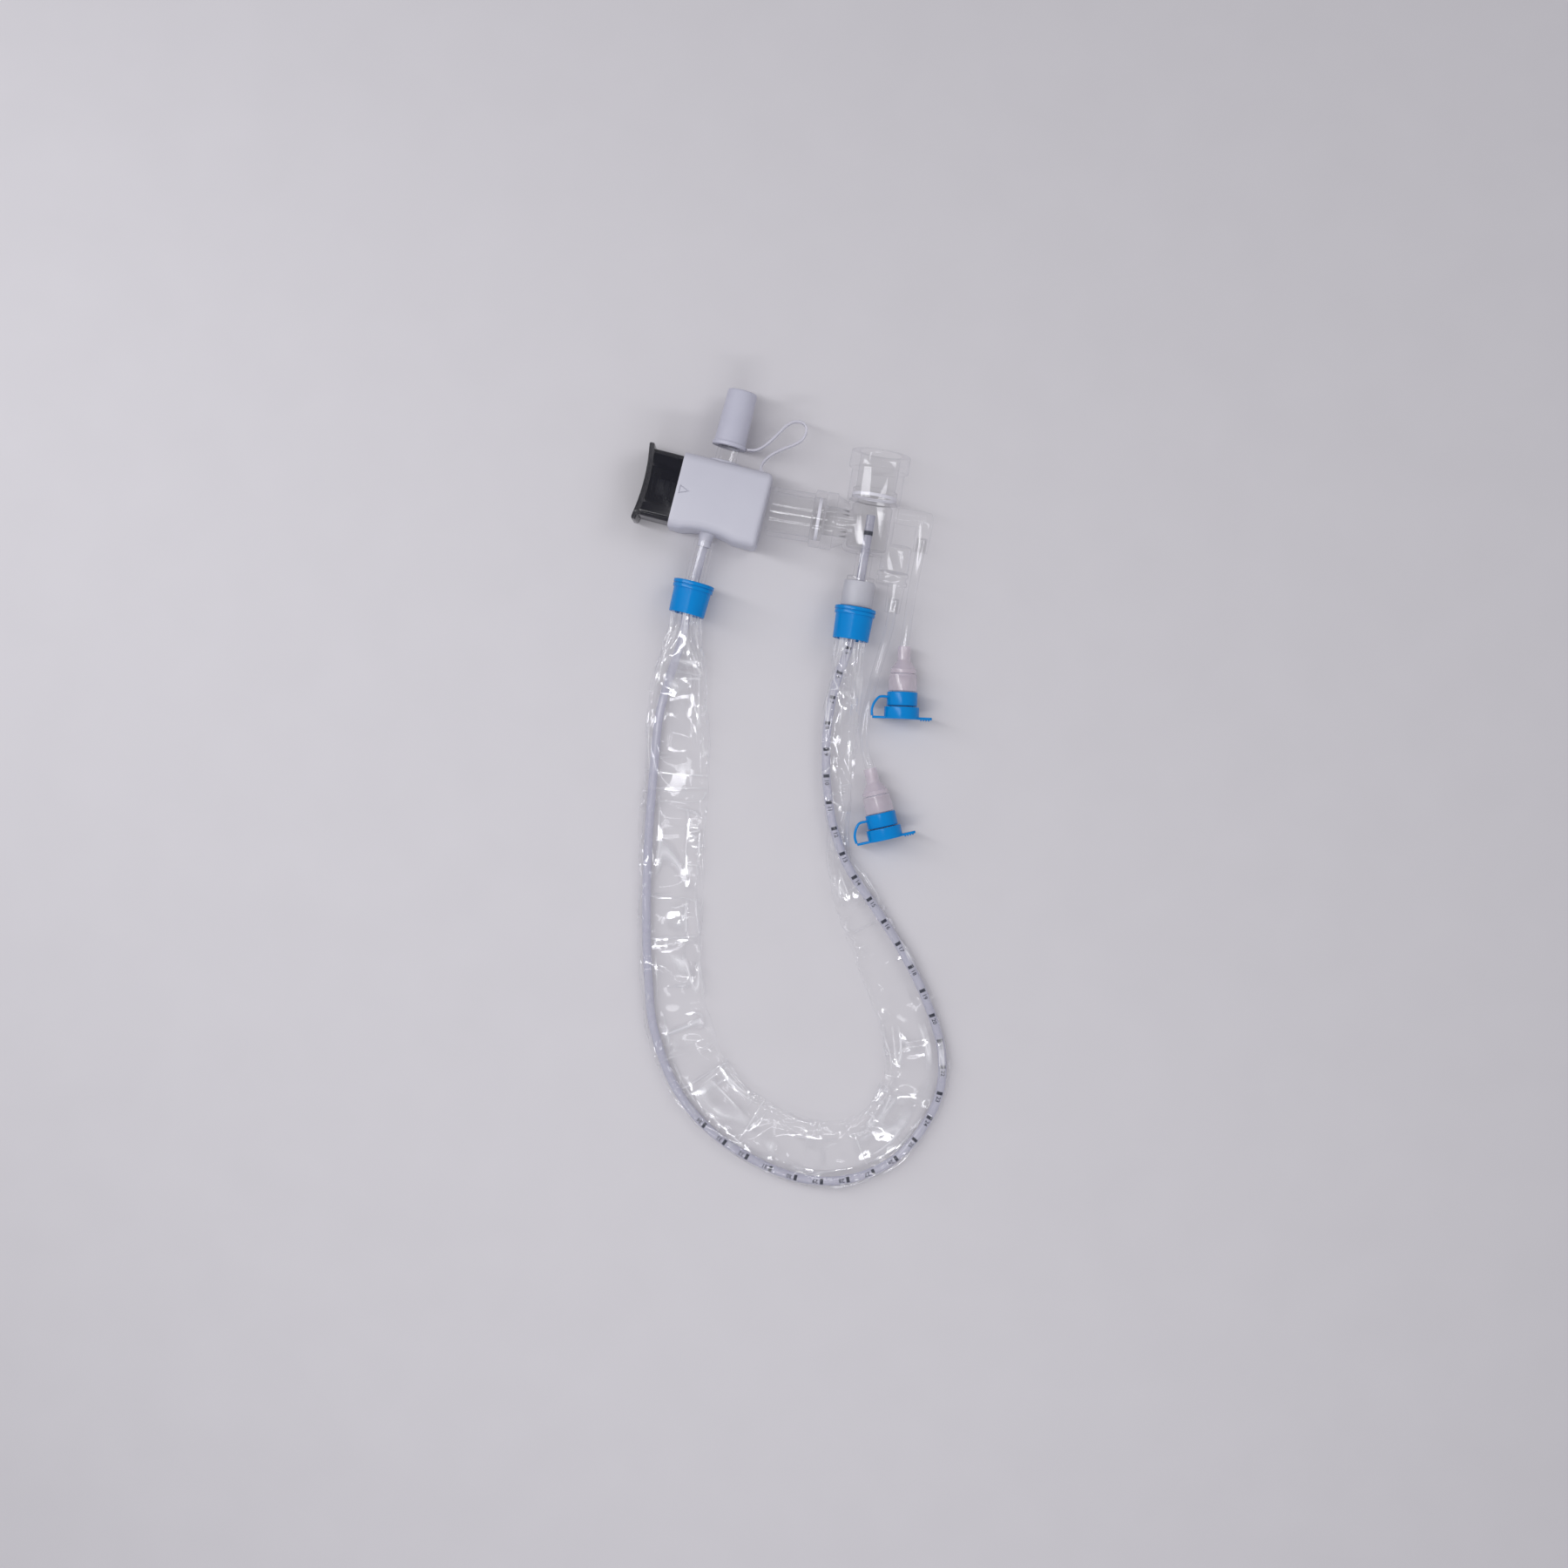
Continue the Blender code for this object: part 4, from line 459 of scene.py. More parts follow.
def surface(name, values, clouds, rough, grain, seen=None):
    # clouds, rough and grain start with the size of their patches in millimetres. The rest is the
    # two colours, the two roughnesses, and the bump's strength, depth in millimetres and detail.
    material, tree, shader, coords = startMaterial(name, values)
    tintBetween(tree, shader, addNoise(tree, coords, clouds[0] * mm), *clouds[1:])
    roughBetween(tree, shader, addNoise(tree, coords, rough[0] * mm), *rough[1:])
    cell, strength, depth, *detail = grain
    addBump(tree, shader, addNoise(tree, coords, cell * mm, *detail), strength, depth * mm)
    if seen:
        alphaByAngle(tree, shader, *seen)
    return material


def clearSurface(name, mirrorAndEdgeShade, rough, waves, seen):
    # Seen by its gloss and by a painted shade on its turned-away edges, in the second colour of the tint
    # pair; rough and waves as above
    material, tree, shader, coords = startMaterial(name, {})
    tintByAngle(tree, shader, *mirrorAndEdgeShade)
    mirrorByAngle(tree, shader, facingPower(tree, 1.5))
    roughBetween(tree, shader, addNoise(tree, coords, rough[0] * mm), *rough[1:])
    cell, strength, depth = waves
    addBump(tree, shader, addNoise(tree, coords, cell * mm), strength, depth * mm)
    alphaByAngle(tree, shader, *seen, 4.0)
    return material


def mouldedAbs():
    # fine spark-eroded grain, 0.25 mm, and slow cloudiness over 15 mm from the melt's flow
    return surface("injectionMouldedAbs", {"IOR": 1.53, **glow(0.04, 1)},
                   (15, "#b9b9c6", "#c0c0cc"), (6, 0.34, 0.44), (0.25, 0.10, 0.02, 4.0))


def softWhite():
    # polyethylene: waxy, a little translucent, with cloudiness over 8 mm and 1.6 mm waves
    return surface("mouldedPolyethylene", {"IOR": 1.51, **glow(0.12, 2)},
                   (8, "#b4b4c4", "#bbbbca"), (3, 0.30, 0.42), (1.6, 0.06, 0.05))


def thinWhite():
    # the same polyethylene 0.9 mm thick: lighter, and a fifth of the light comes through
    return surface("thinPolyethyleneStrap", {"IOR": 1.51, **glow(0.12, 2)},
                   (8, "#cdccd8", "#d6d5e0"), (3, 0.28, 0.40), (2, 0.05, 0.05), (0.78, 0.95))


def pistonWhite():
    # acetal, matt from turning marks 0.3 mm apart
    return surface("machinedAcetal", {"IOR": 1.48},
                   (4, "#d0d0d8", "#d9d9e0"), (1, 0.40, 0.55), (0.3, 0.12, 0.02))


def smokedAcrylic():
    # grey-black and two fifths see-through, with moulding waves of 5 mm that bend its glints
    return surface("smokedAcrylic", {"IOR": 1.49, "Specular IOR Level": 0.4},
                   (6, "#0d0e19", "#141522"), (3, 0.10, 0.20), (5, 0.10, 0.2), (0.60, 0.97))


def clearPolystyrene():
    # water-clear, with a painted grey-lilac shade on its turned-away edges and 7 mm flow waves
    return clearSurface("clearPolystyrene", ("#fafafe", "#b3afbf"), (4, 0.03, 0.06),
                        (7, 0.05, 0.25), (0.03, 0.60))


def frostedPolypropylene():
    # milky, its light spread by a 0.4 mm matt texture
    return surface("frostedPolypropylene", {
        "IOR": 1.49, "Transmission Weight": 0.45, **glow(0.1, 2)},
        (5, "#dadae4", "#e2e2ea"), (2, 0.35, 0.50), (0.4, 0.12, 0.03, 3.0))


def pinkishClear():
    # methacrylate copolymer with a warm cast, over half see-through and cloudy over 3 mm
    return surface("pinkishClearMoulding", {
        "IOR": 1.50, "Coat Weight": 1.0, "Coat Roughness": 0.08},
        (3, "#d8ccd9", "#e2d8e2"), (2, 0.12, 0.28), (4, 0.06, 0.2), (0.40, 0.82))


def bluePolypropylene():
    # solid dyed colour, satin, with a 0.35 mm grain and 6 mm shade change
    return surface("bluePolypropylene", {"IOR": 1.49, "Specular IOR Level": 0.2},
                   (6, "#007ac4", "#0084ce"), (2, 0.16, 0.24), (0.35, 0.07, 0.02, 3.0))


def catheterPvc():
    # softened PVC, grey-lilac and part see-through, with slow 6 mm extrusion ripples
    return surface("extrudedCatheterPvc", {
        "IOR": 1.52, "Coat Weight": 1.0, "Coat Roughness": 0.10},
        (10, "#b9b9cb", "#c5c5d6"), (4, 0.22, 0.34), (6, 0.03, 0.05), (0.54, 0.92))


def flushPvc():
    # softened PVC without dye: clear, with a painted grey-lilac shade on its turned-away edges and 5 mm
    # extrusion ripples
    return clearSurface("extrudedClearPvc", ("#f4f4fa", "#bfbbca"), (3, 0.08, 0.14),
                        (5, 0.04, 0.08), (0.045, 0.58))


def foldLines(tree, way, along, around, width, patch):
    # Thin lines where a stretched noise passes its middle value, kept in patches of the film
    stretched = addNode(tree, "ShaderNodeMapping", {
        "Vector": way, "Scale": (1 / along, 1 / around, 1 / around)}).outputs["Vector"]
    level = addNode(tree, "ShaderNodeTexNoise", {"Vector": stretched, "Scale": 1.0, "Detail": 1.0})
    off = addNode(tree, "ShaderNodeMath", {0: level.outputs["Fac"], 1: 0.5}, operation="SUBTRACT")
    gap = addNode(tree, "ShaderNodeMath", {0: off.outputs[0]}, operation="ABSOLUTE")
    line = addNode(tree, "ShaderNodeMapRange", {"Value": gap.outputs[0], "From Max": width,
                                                "To Min": 1.0, "To Max": 0.0})
    kept = addNode(tree, "ShaderNodeMath", {0: line.outputs["Result"], 1: patch},
                   operation="MULTIPLY")
    return kept.outputs[0]


def blownFilm():
    # polyethylene film: seen by its mirror glints, by its turned-away edges, painted white as a painted
    # highlight, and by its folds, which are lines about 0.5 mm wide, lengthwise at the pleats and across
    # where it is bent, painted white: partly real stress-whitening, partly a painted highlight for their
    # glints
    material, tree, shader, coords = startMaterial("blownPolyethyleneFilm", {
        "Base Color": linearColour("#f8f8fd")})
    way = addNode(tree, "ShaderNodeAttribute", attribute_name="sleeveWay").outputs["Vector"]
    pleated = addNode(tree, "ShaderNodeAttribute", attribute_name="pleated").outputs["Fac"]
    patch = addNode(tree, "ShaderNodeMapRange", {"Value": addNoise(tree, way, 16 * mm),
                                                 "From Min": 0.46, "From Max": 0.64}).outputs["Result"]
    otherPatch = addNode(tree, "ShaderNodeMapRange", {"Value": addNoise(tree, way, 11 * mm),
                                                      "From Min": 0.50, "From Max": 0.66}).outputs["Result"]
    lengthwise = foldLines(tree, way, 45 * mm, 5 * mm, 0.05, patch)
    across = foldLines(tree, way, 7 * mm, 26 * mm, 0.035, otherPatch)
    pleats = foldLines(tree, way, 30 * mm, 2.6 * mm, 0.09, pleated)
    folds = lengthwise
    for more in (across, pleats):
        folds = addNode(tree, "ShaderNodeMath", {0: folds, 1: more}, operation="MAXIMUM").outputs[0]
    # Folds and turned-away edges go plain white: on the edges a painted highlight, on the folds partly real
    # stress-whitening and partly a painted highlight
    foldWhiteAndEdgeHighlight = addNode(tree, "ShaderNodeMath", {0: folds, 1: facingPower(tree, 5.0)},
                    operation="MAXIMUM").outputs[0]
    mirrorByAngle(tree, shader, foldWhiteAndEdgeHighlight)
    roughBetween(tree, shader, addNoise(tree, coords, 5 * mm), 0.05, 0.11)
    addBump(tree, shader, folds, 0.25, 0.15 * mm)
    seen = addNode(tree, "ShaderNodeMapRange", {"Value": facingPower(tree), "To Min": 0.018,
                                                "To Max": 0.34}).outputs["Result"]
    fold = addNode(tree, "ShaderNodeMath", {0: folds, 1: 0.55}, operation="MULTIPLY").outputs[0]
    alpha = addNode(tree, "ShaderNodeMath", {0: seen, 1: fold}, operation="MAXIMUM")
    tree.links.new(alpha.outputs[0], shader.inputs["Alpha"])
    return material


def mouldedSilicone():
    # milky white rubber, matt, with a 0.5 mm powdery texture
    return surface("mouldedSilicone", {"IOR": 1.41},
                   (3, "#d6d5df", "#e0dfe8"), (1, 0.35, 0.55), (0.5, 0.08, 0.03))


def springSteel():
    # drawn wire, bright with fine 0.2 mm drawing lines
    return surface("drawnSpringSteel", {"Metallic": 1.0},
                   (2, "#9c9ca0", "#b4b4b8"), (1, 0.20, 0.34), (0.2, 0.08, 0.01))


def printedInk():
    # pad-printed black, worn thin in patches of 0.6 mm
    return surface("padPrintedInk", {"IOR": 1.5},
                   (0.6, "#1c1e2a", "#343747"), (0.5, 0.45, 0.60), (0.3, 0.05, 0.01))


paints = {
    "housing": (mouldedAbs(), "white_moulding"),
    "softWhite": (softWhite(), "soft_white_moulding"),
    "thinWhite": (thinWhite(), "soft_white_moulding"),
    "piston": (pistonWhite(), "soft_white_moulding"),
    "smoke": (smokedAcrylic(), "smoke_moulding"),
    "clear": (clearPolystyrene(), "clear_moulding"),
    "frosted": (frostedPolypropylene(), "frosted_moulding"),
    "pinkish": (pinkishClear(), "pinkish_clear_moulding"),
    "blue": (bluePolypropylene(), "blue_moulding"),
    "catheter": (catheterPvc(), "catheter_tubing"),
    "flush": (flushPvc(), "flush_tubing"),
    "film": (blownFilm(), "clear_film"),
    "silicone": (mouldedSilicone(), "silicone"),
    "spring": (springSteel(), "spring_steel"),
    "ink": (printedInk(), None),
}

# Where the three groups of pieces stand, and the directions that their parts point in
valveAt = shifted(0, 0, 10 * mm) @ turned(-4.8)
teeSpot = (56.3, -0.2, 11.3)
teeAt = shifted(*(place * mm for place in teeSpot))
stubX = -2.2
stubAt = valveAt @ shifted(stubX * mm) @ turned(90)
neckAt = valveAt @ shifted(stubX * mm) @ turned(-90)
towardsCatheter = teeAt @ turned(-90)
inPlace = Matrix.Identity(4)


# Valve

housing = {"mouth": -16.8, "end": 16.8, "half": 14.15, "height": 10.0, "corner": 3.2,
           "endRound": 1.6, "lip": 0.35, "frontHalf": 12.9, "rearHalf": 11.3, "ceiling": 9.0,
           "frontEnd": -8.6, "innerEnd": 15.3, "innerCorner": 2.2,
           "archHalf": 10.0, "archDepth": 1.6}


def archDepthAt(x):
    half, depth = housing["archHalf"], housing["archDepth"]
    radius = (half ** 2 + depth ** 2) / (2 * depth)
    away = min(abs(x - stubX), half)
    return depth - radius + math.sqrt(radius ** 2 - away ** 2)


def housingMesh():
    facts = housing

    def outerRing(x, inset):
        section = roundedSection(-facts["half"] + archDepthAt(x) + inset, facts["half"] - inset,
                                 inset - facts["height"], facts["height"] - inset,
                                 facts["corner"] - inset)
        return [(x, across, up) for across, up in section]

    def innerRing(x, half):
        section = roundedSection(-half, half, -facts["ceiling"], facts["ceiling"],
                                 facts["innerCorner"])
        return [(x, across, up) for across, up in section]

    rings = [outerRing(facts["end"] - facts["endRound"] * (1 - math.cos(math.radians(90 * t / 6))),
                       facts["endRound"] * (1 - math.sin(math.radians(90 * t / 6))))
             for t in range(7)]
    start = facts["end"] - facts["endRound"]
    count = 36
    for step in range(1, count + 1):
        x = start + (facts["mouth"] + facts["lip"] - start) * step / count
        rings.append(outerRing(x, 0.0))
    rings.append(outerRing(facts["mouth"] + 0.3 * facts["lip"], 0.3 * facts["lip"]))
    rings.append(outerRing(facts["mouth"], facts["lip"]))
    rings += [innerRing(x, facts["frontHalf"]) for x in (facts["mouth"], facts["frontEnd"])]
    rings += [innerRing(x, facts["rearHalf"]) for x in (facts["frontEnd"], facts["innerEnd"])]
    return loftMesh(rings)


indexMark = {"base": -15.6, "apex": -11.6, "half": 1.75, "line": 0.4, "depth": 0.35}


def indexCutter():
    # A thin triangle in outline
    facts = indexMark
    rings = []
    for inset in (0.0, facts["line"]):
        base, half = facts["base"] + inset, facts["half"] - 1.6 * inset
        triangle = ((facts["apex"] - 2.2 * inset, 0.0), (base, half), (base, -half))
        rings.append([(x, y, housing["height"] - facts["depth"]) for x, y in triangle])
        rings.append([(x, y, housing["height"] + 1.0) for x, y in triangle])
    return loftMesh([rings[0], rings[1], rings[3], rings[2]], wrap=True)


def addHousing():
    up, down = shifted(stubX) @ turned(90), shifted(stubX) @ turned(-90)
    wall = housing["half"] - housing["archDepth"]
    neck = turnedMesh([(11.6, 0.0), (11.6, 3.3), (wall - 0.2, 3.3, 0.0), (wall + 0.3, 2.95, 0.4),
                       (15.15, 2.4), (17.75, 2.4), (17.75, 0.0)], 64)
    shoulder = turnedMesh([(13.4, 0.0), (13.4, 6.2), (15.15, 6.2, 0.6), (15.15, 0.0)], 80)
    mesh = combine(housingMesh(), [
        ("UNION", neck, down), ("UNION", shoulder, up),
        ("DIFFERENCE", rodMesh(10.0, 17.0, 4.4, 72), up),
        ("DIFFERENCE", rodMesh(10.0, 19.0, catheter["bore"]), down),
        ("DIFFERENCE", indexCutter(), inPlace)])
    addPiece("valveHousing", mesh, valveAt, "housing", nodes=["valve_housing"])


button = {"padBack": -27.3, "padThickness": 1.9, "padHalf": 14.7, "padUp": 9.5, "padCorner": 3.0,
          "dish": 1.5, "skirtHalf": 12.6, "skirtUp": 8.7, "skirtCorner": 1.9, "skirtWall": 1.4,
          "skirtEnd": -15.3, "webAt": 6.9, "webHalf": 0.6, "webLength": 8.5, "ridgeSpacing": 2.1}


def padMesh():
    facts = button
    rings = []
    count = 40
    for step in range(count + 1):
        across = facts["padHalf"] * math.sin(math.pi / 2 * (2 * step / count - 1))
        back = facts["padBack"] - facts["dish"] * (across / facts["padHalf"]) ** 2
        past = max(0.0, abs(across) - facts["padHalf"] + facts["padCorner"])
        up = facts["padUp"] - facts["padCorner"]
        up += math.sqrt(max(0.0, facts["padCorner"] ** 2 - past ** 2))
        thin = 0.7 * max(0.0, (abs(across) - facts["padHalf"] + 0.8) / 0.8) ** 2
        section = roundedSection(back - facts["padThickness"] + thin * 0.6, back - thin * 0.3,
                                 thin * 0.3 - up, up - thin * 0.3, 0.55, 4)
        rings.append([(x, across, z) for x, z in section])
    return loftMesh(rings)


def skirtMesh():
    facts = button
    half, up, corner, wall = (facts[key] for key in ("skirtHalf", "skirtUp", "skirtCorner",
                                                     "skirtWall"))

    def ring(x, inset, reach):
        return [(x, y, z) for y, z in roundedSection(inset - half, half - inset, inset - up,
                                                     up - inset, reach, 6)]

    start, end = facts["padBack"] - 1.0, facts["skirtEnd"]
    return loftMesh([ring(start, 0, corner), ring(end - 0.3, 0, corner),
                     ring(end, 0.3, corner - 0.3), ring(end, wall - 0.2, 0.6),
                     ring(end - 0.2, wall, 0.5), ring(start, wall, 0.5)], wrap=True)


def addButton():
    facts = button
    steps = [("UNION", skirtMesh(), inPlace)]
    for side in (-1, 1):
        middle = side * facts["webAt"]
        web = boxMesh((facts["padBack"] - 0.9, middle - facts["webHalf"], -8.0),
                      (facts["padBack"] + facts["webLength"], middle + facts["webHalf"], 8.0), 0.15)
        steps.append(("UNION", web, inPlace))
    boss = turnedMesh([(-28.2, 3.3), (-28.2, 4.2), (-24.7, 4.2), (-24.7, 3.3)], 48)
    steps.append(("UNION", boss, inPlace))
    line = []
    for step in range(25):
        across = 10.2 * (step / 12 - 1)
        line.append((facts["padBack"] - facts["padThickness"]
                     - facts["dish"] * (across / facts["padHalf"]) ** 2, across, 0.0))
    ridge = boxMesh((-0.35, -0.1, -5.5), (0.35, 0.35, 5.5), 0.1)
    ridges = repeatAlong("thumbRidges", line, ridge, facts["ridgeSpacing"], "smoke")
    steps.append(("UNION", ridges, inPlace))
    addPiece("thumbButton", combine(padMesh(), steps), valveAt, "smoke",
             "button", ["thumb_button"])


piston = {"start": -27.0, "end": 3.15, "rodRadius": 3.0, "headStart": -15.35, "radius": 4.0,
          "seals": {"front": -13.5, "middle": -4.5, "rear": 1.3}, "grooveHalf": 0.85,
          "grooveRadius": 2.6, "wayStart": -11.65, "wayEnd": -6.35, "wayRadius": 2.2,
          "sealRadius": 3.45, "sealSection": 0.55}


def addValveInside():
    facts = piston
    radius, half, floor = facts["radius"], facts["grooveHalf"], facts["grooveRadius"]
    outline = [(facts["start"], 0.0), (facts["start"], facts["rodRadius"]),
               (facts["headStart"], facts["rodRadius"]), (facts["headStart"], radius)]
    for name, place in facts["seals"].items():
        outline += [(place - half, radius, 0.1), (place - half, floor, 0.1),
                    (place + half, floor, 0.1), (place + half, radius, 0.1)]
        if name == "front":
            # the narrow stretch that lets the suction through when the button is pushed
            outline += [(facts["wayStart"], radius), (facts["wayStart"], facts["wayRadius"]),
                        (facts["wayEnd"], facts["wayRadius"]), (facts["wayEnd"], radius)]
    outline += [(facts["end"], radius), (facts["end"], 0.0)]
    addPiece("valvePiston", turnedMesh(outline, 72), valveAt, "piston", "button",
             ["valve_piston"])
    for name, place in facts["seals"].items():
        seal = turnedMesh([(place + facts["sealSection"] * math.cos(math.pi * k / 8),
                            facts["sealRadius"] + facts["sealSection"] * math.sin(math.pi * k / 8))
                           for k in range(16)], 72, 0)
        addPiece(f"pistonSeal{name.title()}", seal, valveAt, "silicone", "button",
                 [f"piston_seal_{name}"])
    barrel = combine(turnedMesh([(-15.0, 4.3), (-15.0, 6.0), (15.0, 6.0), (15.0, 4.3)]), [
        ("DIFFERENCE", rodMesh(-7.0, 7.0, 2.8), shifted(stubX) @ turned(90))])
    addPiece("valveBarrel", barrel, valveAt, "clear", nodes=["valve_barrel"])
    addSpring()


spring = {"start": -26.65, "end": -15.65, "radius": 4.9, "wire": 0.35, "turns": 5, "keep": 0.46}


def addSpring():
    facts = spring
    steps = 40
    count = facts["turns"] * steps
    ups = [Vector((0.0, math.cos(2 * math.pi * k / steps), math.sin(2 * math.pi * k / steps)))
           for k in range(count + 1)]
    length = facts["end"] - facts["start"]
    points = [up * facts["radius"] + Vector((facts["start"] + length * k / count, 0, 0))
              for k, up in enumerate(ups)]
    coil = addPiece("returnSpring", tubeMesh(points, facts["wire"], 12, ups),
                    valveAt, "spring", nodes=["return_spring"])
    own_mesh(coil)


def addStubAndCap():
    addPiece("suctionStub", turnedMesh([
        (6.3, 2.8), (6.3, 4.1), (9.8, 4.1), (9.8, 5.4), (11.0, 5.4), (11.0, 4.1), (34.95, 4.1),
        (36.95, 3.8), (36.95, 2.8)]), stubAt, "clear", nodes=["suction_stub"])
    cap = [(20.75, 4.4), (20.75, 6.5, 0.4), (22.15, 6.5, 0.4), (22.15, 6.0, 0.3), (42.25, 5.55, 0.9),
           (42.25, 0.0), (40.75, 0.0), (40.75, 4.4)]
    addPiece("portCap", turnedMesh(cap), stubAt, "softWhite", "port_cap", ["port_cap"])


tether = {"width": 3.2, "thickness": 0.9, "footLength": 4.4, "holdEnd": 5.0, "freeStart": 13.5,
          "route": ((9.4, 21.4), (12.0, 23.0), (14.6, 25.8), (17.0, 29.0), (19.4, 32.3),
                    (22.1, 34.3), (25.0, 34.6), (26.8, 33.2), (27.1, 30.6), (26.0, 28.0),
                    (23.5, 25.9), (20.3, 24.0), (16.8, 21.6), (14.4, 19.2), (12.8, 16.4))}


def addTether():
    # A flat strap from the cap's flange round to a foot on the housing's side
    facts = tether
    start = valveAt @ Vector(((stubX + 6.8) * mm, 21.45 * mm, 0)) / mm
    root = valveAt @ Vector(((stubX + 14.0) * mm, 14.45 * mm, 0)) / mm
    route = [start[:2], *facts["route"], root[:2]]
    points = smoothRoute([(x, y, 0.0) for x, y in route], 0.7)
    foot = valveAt.to_3x3() @ Vector((1, 0, 0))
    strip = stripMesh(points, facts["thickness"], facts["width"], 0.4, 10.0, foot,
                      facts["footLength"])
    strap = addPiece("capTether", strip, inPlace, "thinWhite", None, ["cap_tether"])
    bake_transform(strap)


def addAdapter():
    addPiece("catheterAdapter", turnedMesh([
        (15.45, 2.7), (15.45, 3.9, 0.35), (33.25, 3.9), (33.25, 5.3), (38.85, 5.3), (39.85, 4.3),
        (39.85, 2.7)]), neckAt, "clear", nodes=["catheter_adapter"])


def sleeveRing(start, mouth):
    # Two-tier flange, then a body with a slight taper
    return turnedMesh([
        (start, mouth), (start, 7.5, 0.2), (start + 0.25, 7.75, 0.15), (start + 1.35, 7.75, 0.12),
        (start + 1.35, 7.35, 0.05), (start + 1.6, 7.35, 0.05), (start + 1.6, 7.6, 0.1),
        (start + 2.9, 7.6, 0.12), (start + 2.9, 7.1, 0.1),
        (start + 12.2, 6.75, 0.35), (start + 12.2, 6.2), (start + 1.4, 6.2), (start + 1.4, mouth)])


def addRings():
    addPiece("sleeveRingValve", sleeveRing(31.55, 4.2), neckAt, "blue", nodes=["sleeve_ring_valve"])
    addPiece("sleeveRingTee", sleeveRing(30.4, 5.6), towardsCatheter, "blue",
             nodes=["sleeve_ring_tee"])


# Tee

tee = {"end": 10.0, "radius": 9.2, "armRadius": 7.6, "rimRadius": 10.7, "rimEnd": 17.2,
       "portRadius": 3.2, "portEnd": 20.4, "armBore": 5.45, "ribCount": 14}
elbow = {"level": 6.1, "turnAt": 20.2, "radius": 3.2, "socketEnd": 12.2, "tubeFrom": 7.2}
fitting = {"at": 11.6, "socketAt": 13.6, "rimRadius": 5.9, "socketEnd": 30.1, "tubeFrom": 25.1}


def addTee():
    up, down, left = turned(90), turned(-90), turned(180)
    facts = tee
    barrel = turnedMesh([(-facts["end"], 0.0), (-facts["end"], facts["radius"], 2.4),
                         (9.4, facts["radius"], 0.3), (9.4, 0.0)])
    arm = turnedMesh([(4.6, 0.0), (4.6, facts["armRadius"]), (8.0, facts["armRadius"]), (13.1, 10.1),
                      (13.1, facts["rimRadius"], 0.4), (facts["rimEnd"], facts["rimRadius"], 0.5),
                      (facts["rimEnd"], 0.0)])
    port = turnedMesh([(9.2, 0.0), (9.2, facts["portRadius"]), (18.8, facts["portRadius"]),
                       (18.8, 5.2), (facts["portEnd"], 5.2), (facts["portEnd"], 0.0)], 72)
    fittingBoss = turnedMesh([(5.0, 0.0), (5.0, 5.5, 1.2), (15.0, 5.5), (15.0, 0.0)], 72)
    bore = turnedMesh([(-8.4, 0.0), (-8.4, 7.6, 1.2), (7.7, 7.6), (9.3, 5.85), (14.7, 5.85),
                       (14.7, 0.0)])
    steps = [("UNION", arm, left), ("UNION", port, down),
             ("UNION", rodMesh(4.6, 9.7, 2.95, 64), shifted(0, elbow["level"])),
             ("UNION", fittingBoss, shifted(fitting["at"]) @ down)]
    for number in range(facts["ribCount"]):
        # thin ribs that stiffen the cone
        angle = 360 * (number + 0.5) / facts["ribCount"]
        rib = boxMesh((-12.9, -0.3, 7.0), (-8.2, 0.3, 9.3), 0.12)
        steps.append(("UNION", rib, Matrix.Rotation(math.radians(angle), 4, "X")))
    steps += [("DIFFERENCE", bore, up),
              ("DIFFERENCE", rodMesh(0.0, 22.5, facts["armBore"], 72), left),
              ("DIFFERENCE", rodMesh(6.8, 21.4, catheter["bore"]), down)]
    barrel.transform(up)
    addPiece("teeBody", combine(barrel, steps), teeAt, "clear", nodes=["tee_body"])


def addSwivels():
    patient = turnedMesh([
        (9.6, 8.4), (9.6, 10.0, 0.4), (21.2, 10.0, 0.1), (21.6, 11.2, 0.35), (28.0, 11.2, 0.5),
        (28.0, 7.9, 0.4), (27.2, 7.6), (14.0, 7.4), (14.0, 8.4)])
    addPiece("patientSwivel", patient, teeAt @ turned(90), "clear", "patient_swivel",
             ["patient_swivel"])
    ventilator = turnedMesh([
        (17.4, 8.0), (17.4, 10.7, 0.5), (21.4, 10.7, 0.4), (21.8, 9.2, 0.3), (37.7, 9.2, 0.4),
        (37.7, 7.6), (21.8, 7.4), (21.8, 8.0)])
    addPiece("ventilatorSwivel", ventilator, teeAt @ turned(180), "clear", "ventilator_swivel",
             ["ventilator_swivel"])
    # each seal is squeezed flat against its swivel's bore, and shows as a thin band
    for side, angle, along, radius in (("patient", 90, 10.9, 8.12), ("ventilator", 180, 18.7, 7.72)):
        end, outer = along + 1.2, radius + 0.26
        band = turnedMesh([(along, radius), (along, outer), (end, outer), (end, radius)], soft=0.1)
        addPiece(f"{side}Seal", band, teeAt @ turned(angle), "silicone", nodes=[f"{side}_seal"])


def addSealHousing():
    bore = catheter["bore"]
    shell = turnedMesh([(20.7, 4.6), (20.7, 5.9, 0.3), (30.1, 5.9, 0.3), (30.1, 5.3),
                        (35.0, 5.3, 0.4), (35.0, bore), (26.4, bore), (26.4, 4.6)])
    addPiece("sealHousing", shell, towardsCatheter, "frosted", nodes=["seal_housing"])
    wiper = turnedMesh([(21.0, 3.165), (21.0, 4.3), (25.8, 4.3), (25.8, 3.165), (23.9, bore),
                        (22.9, bore)], 64)
    addPiece("wiperSeal", wiper, towardsCatheter, "silicone", nodes=["wiper_seal"])


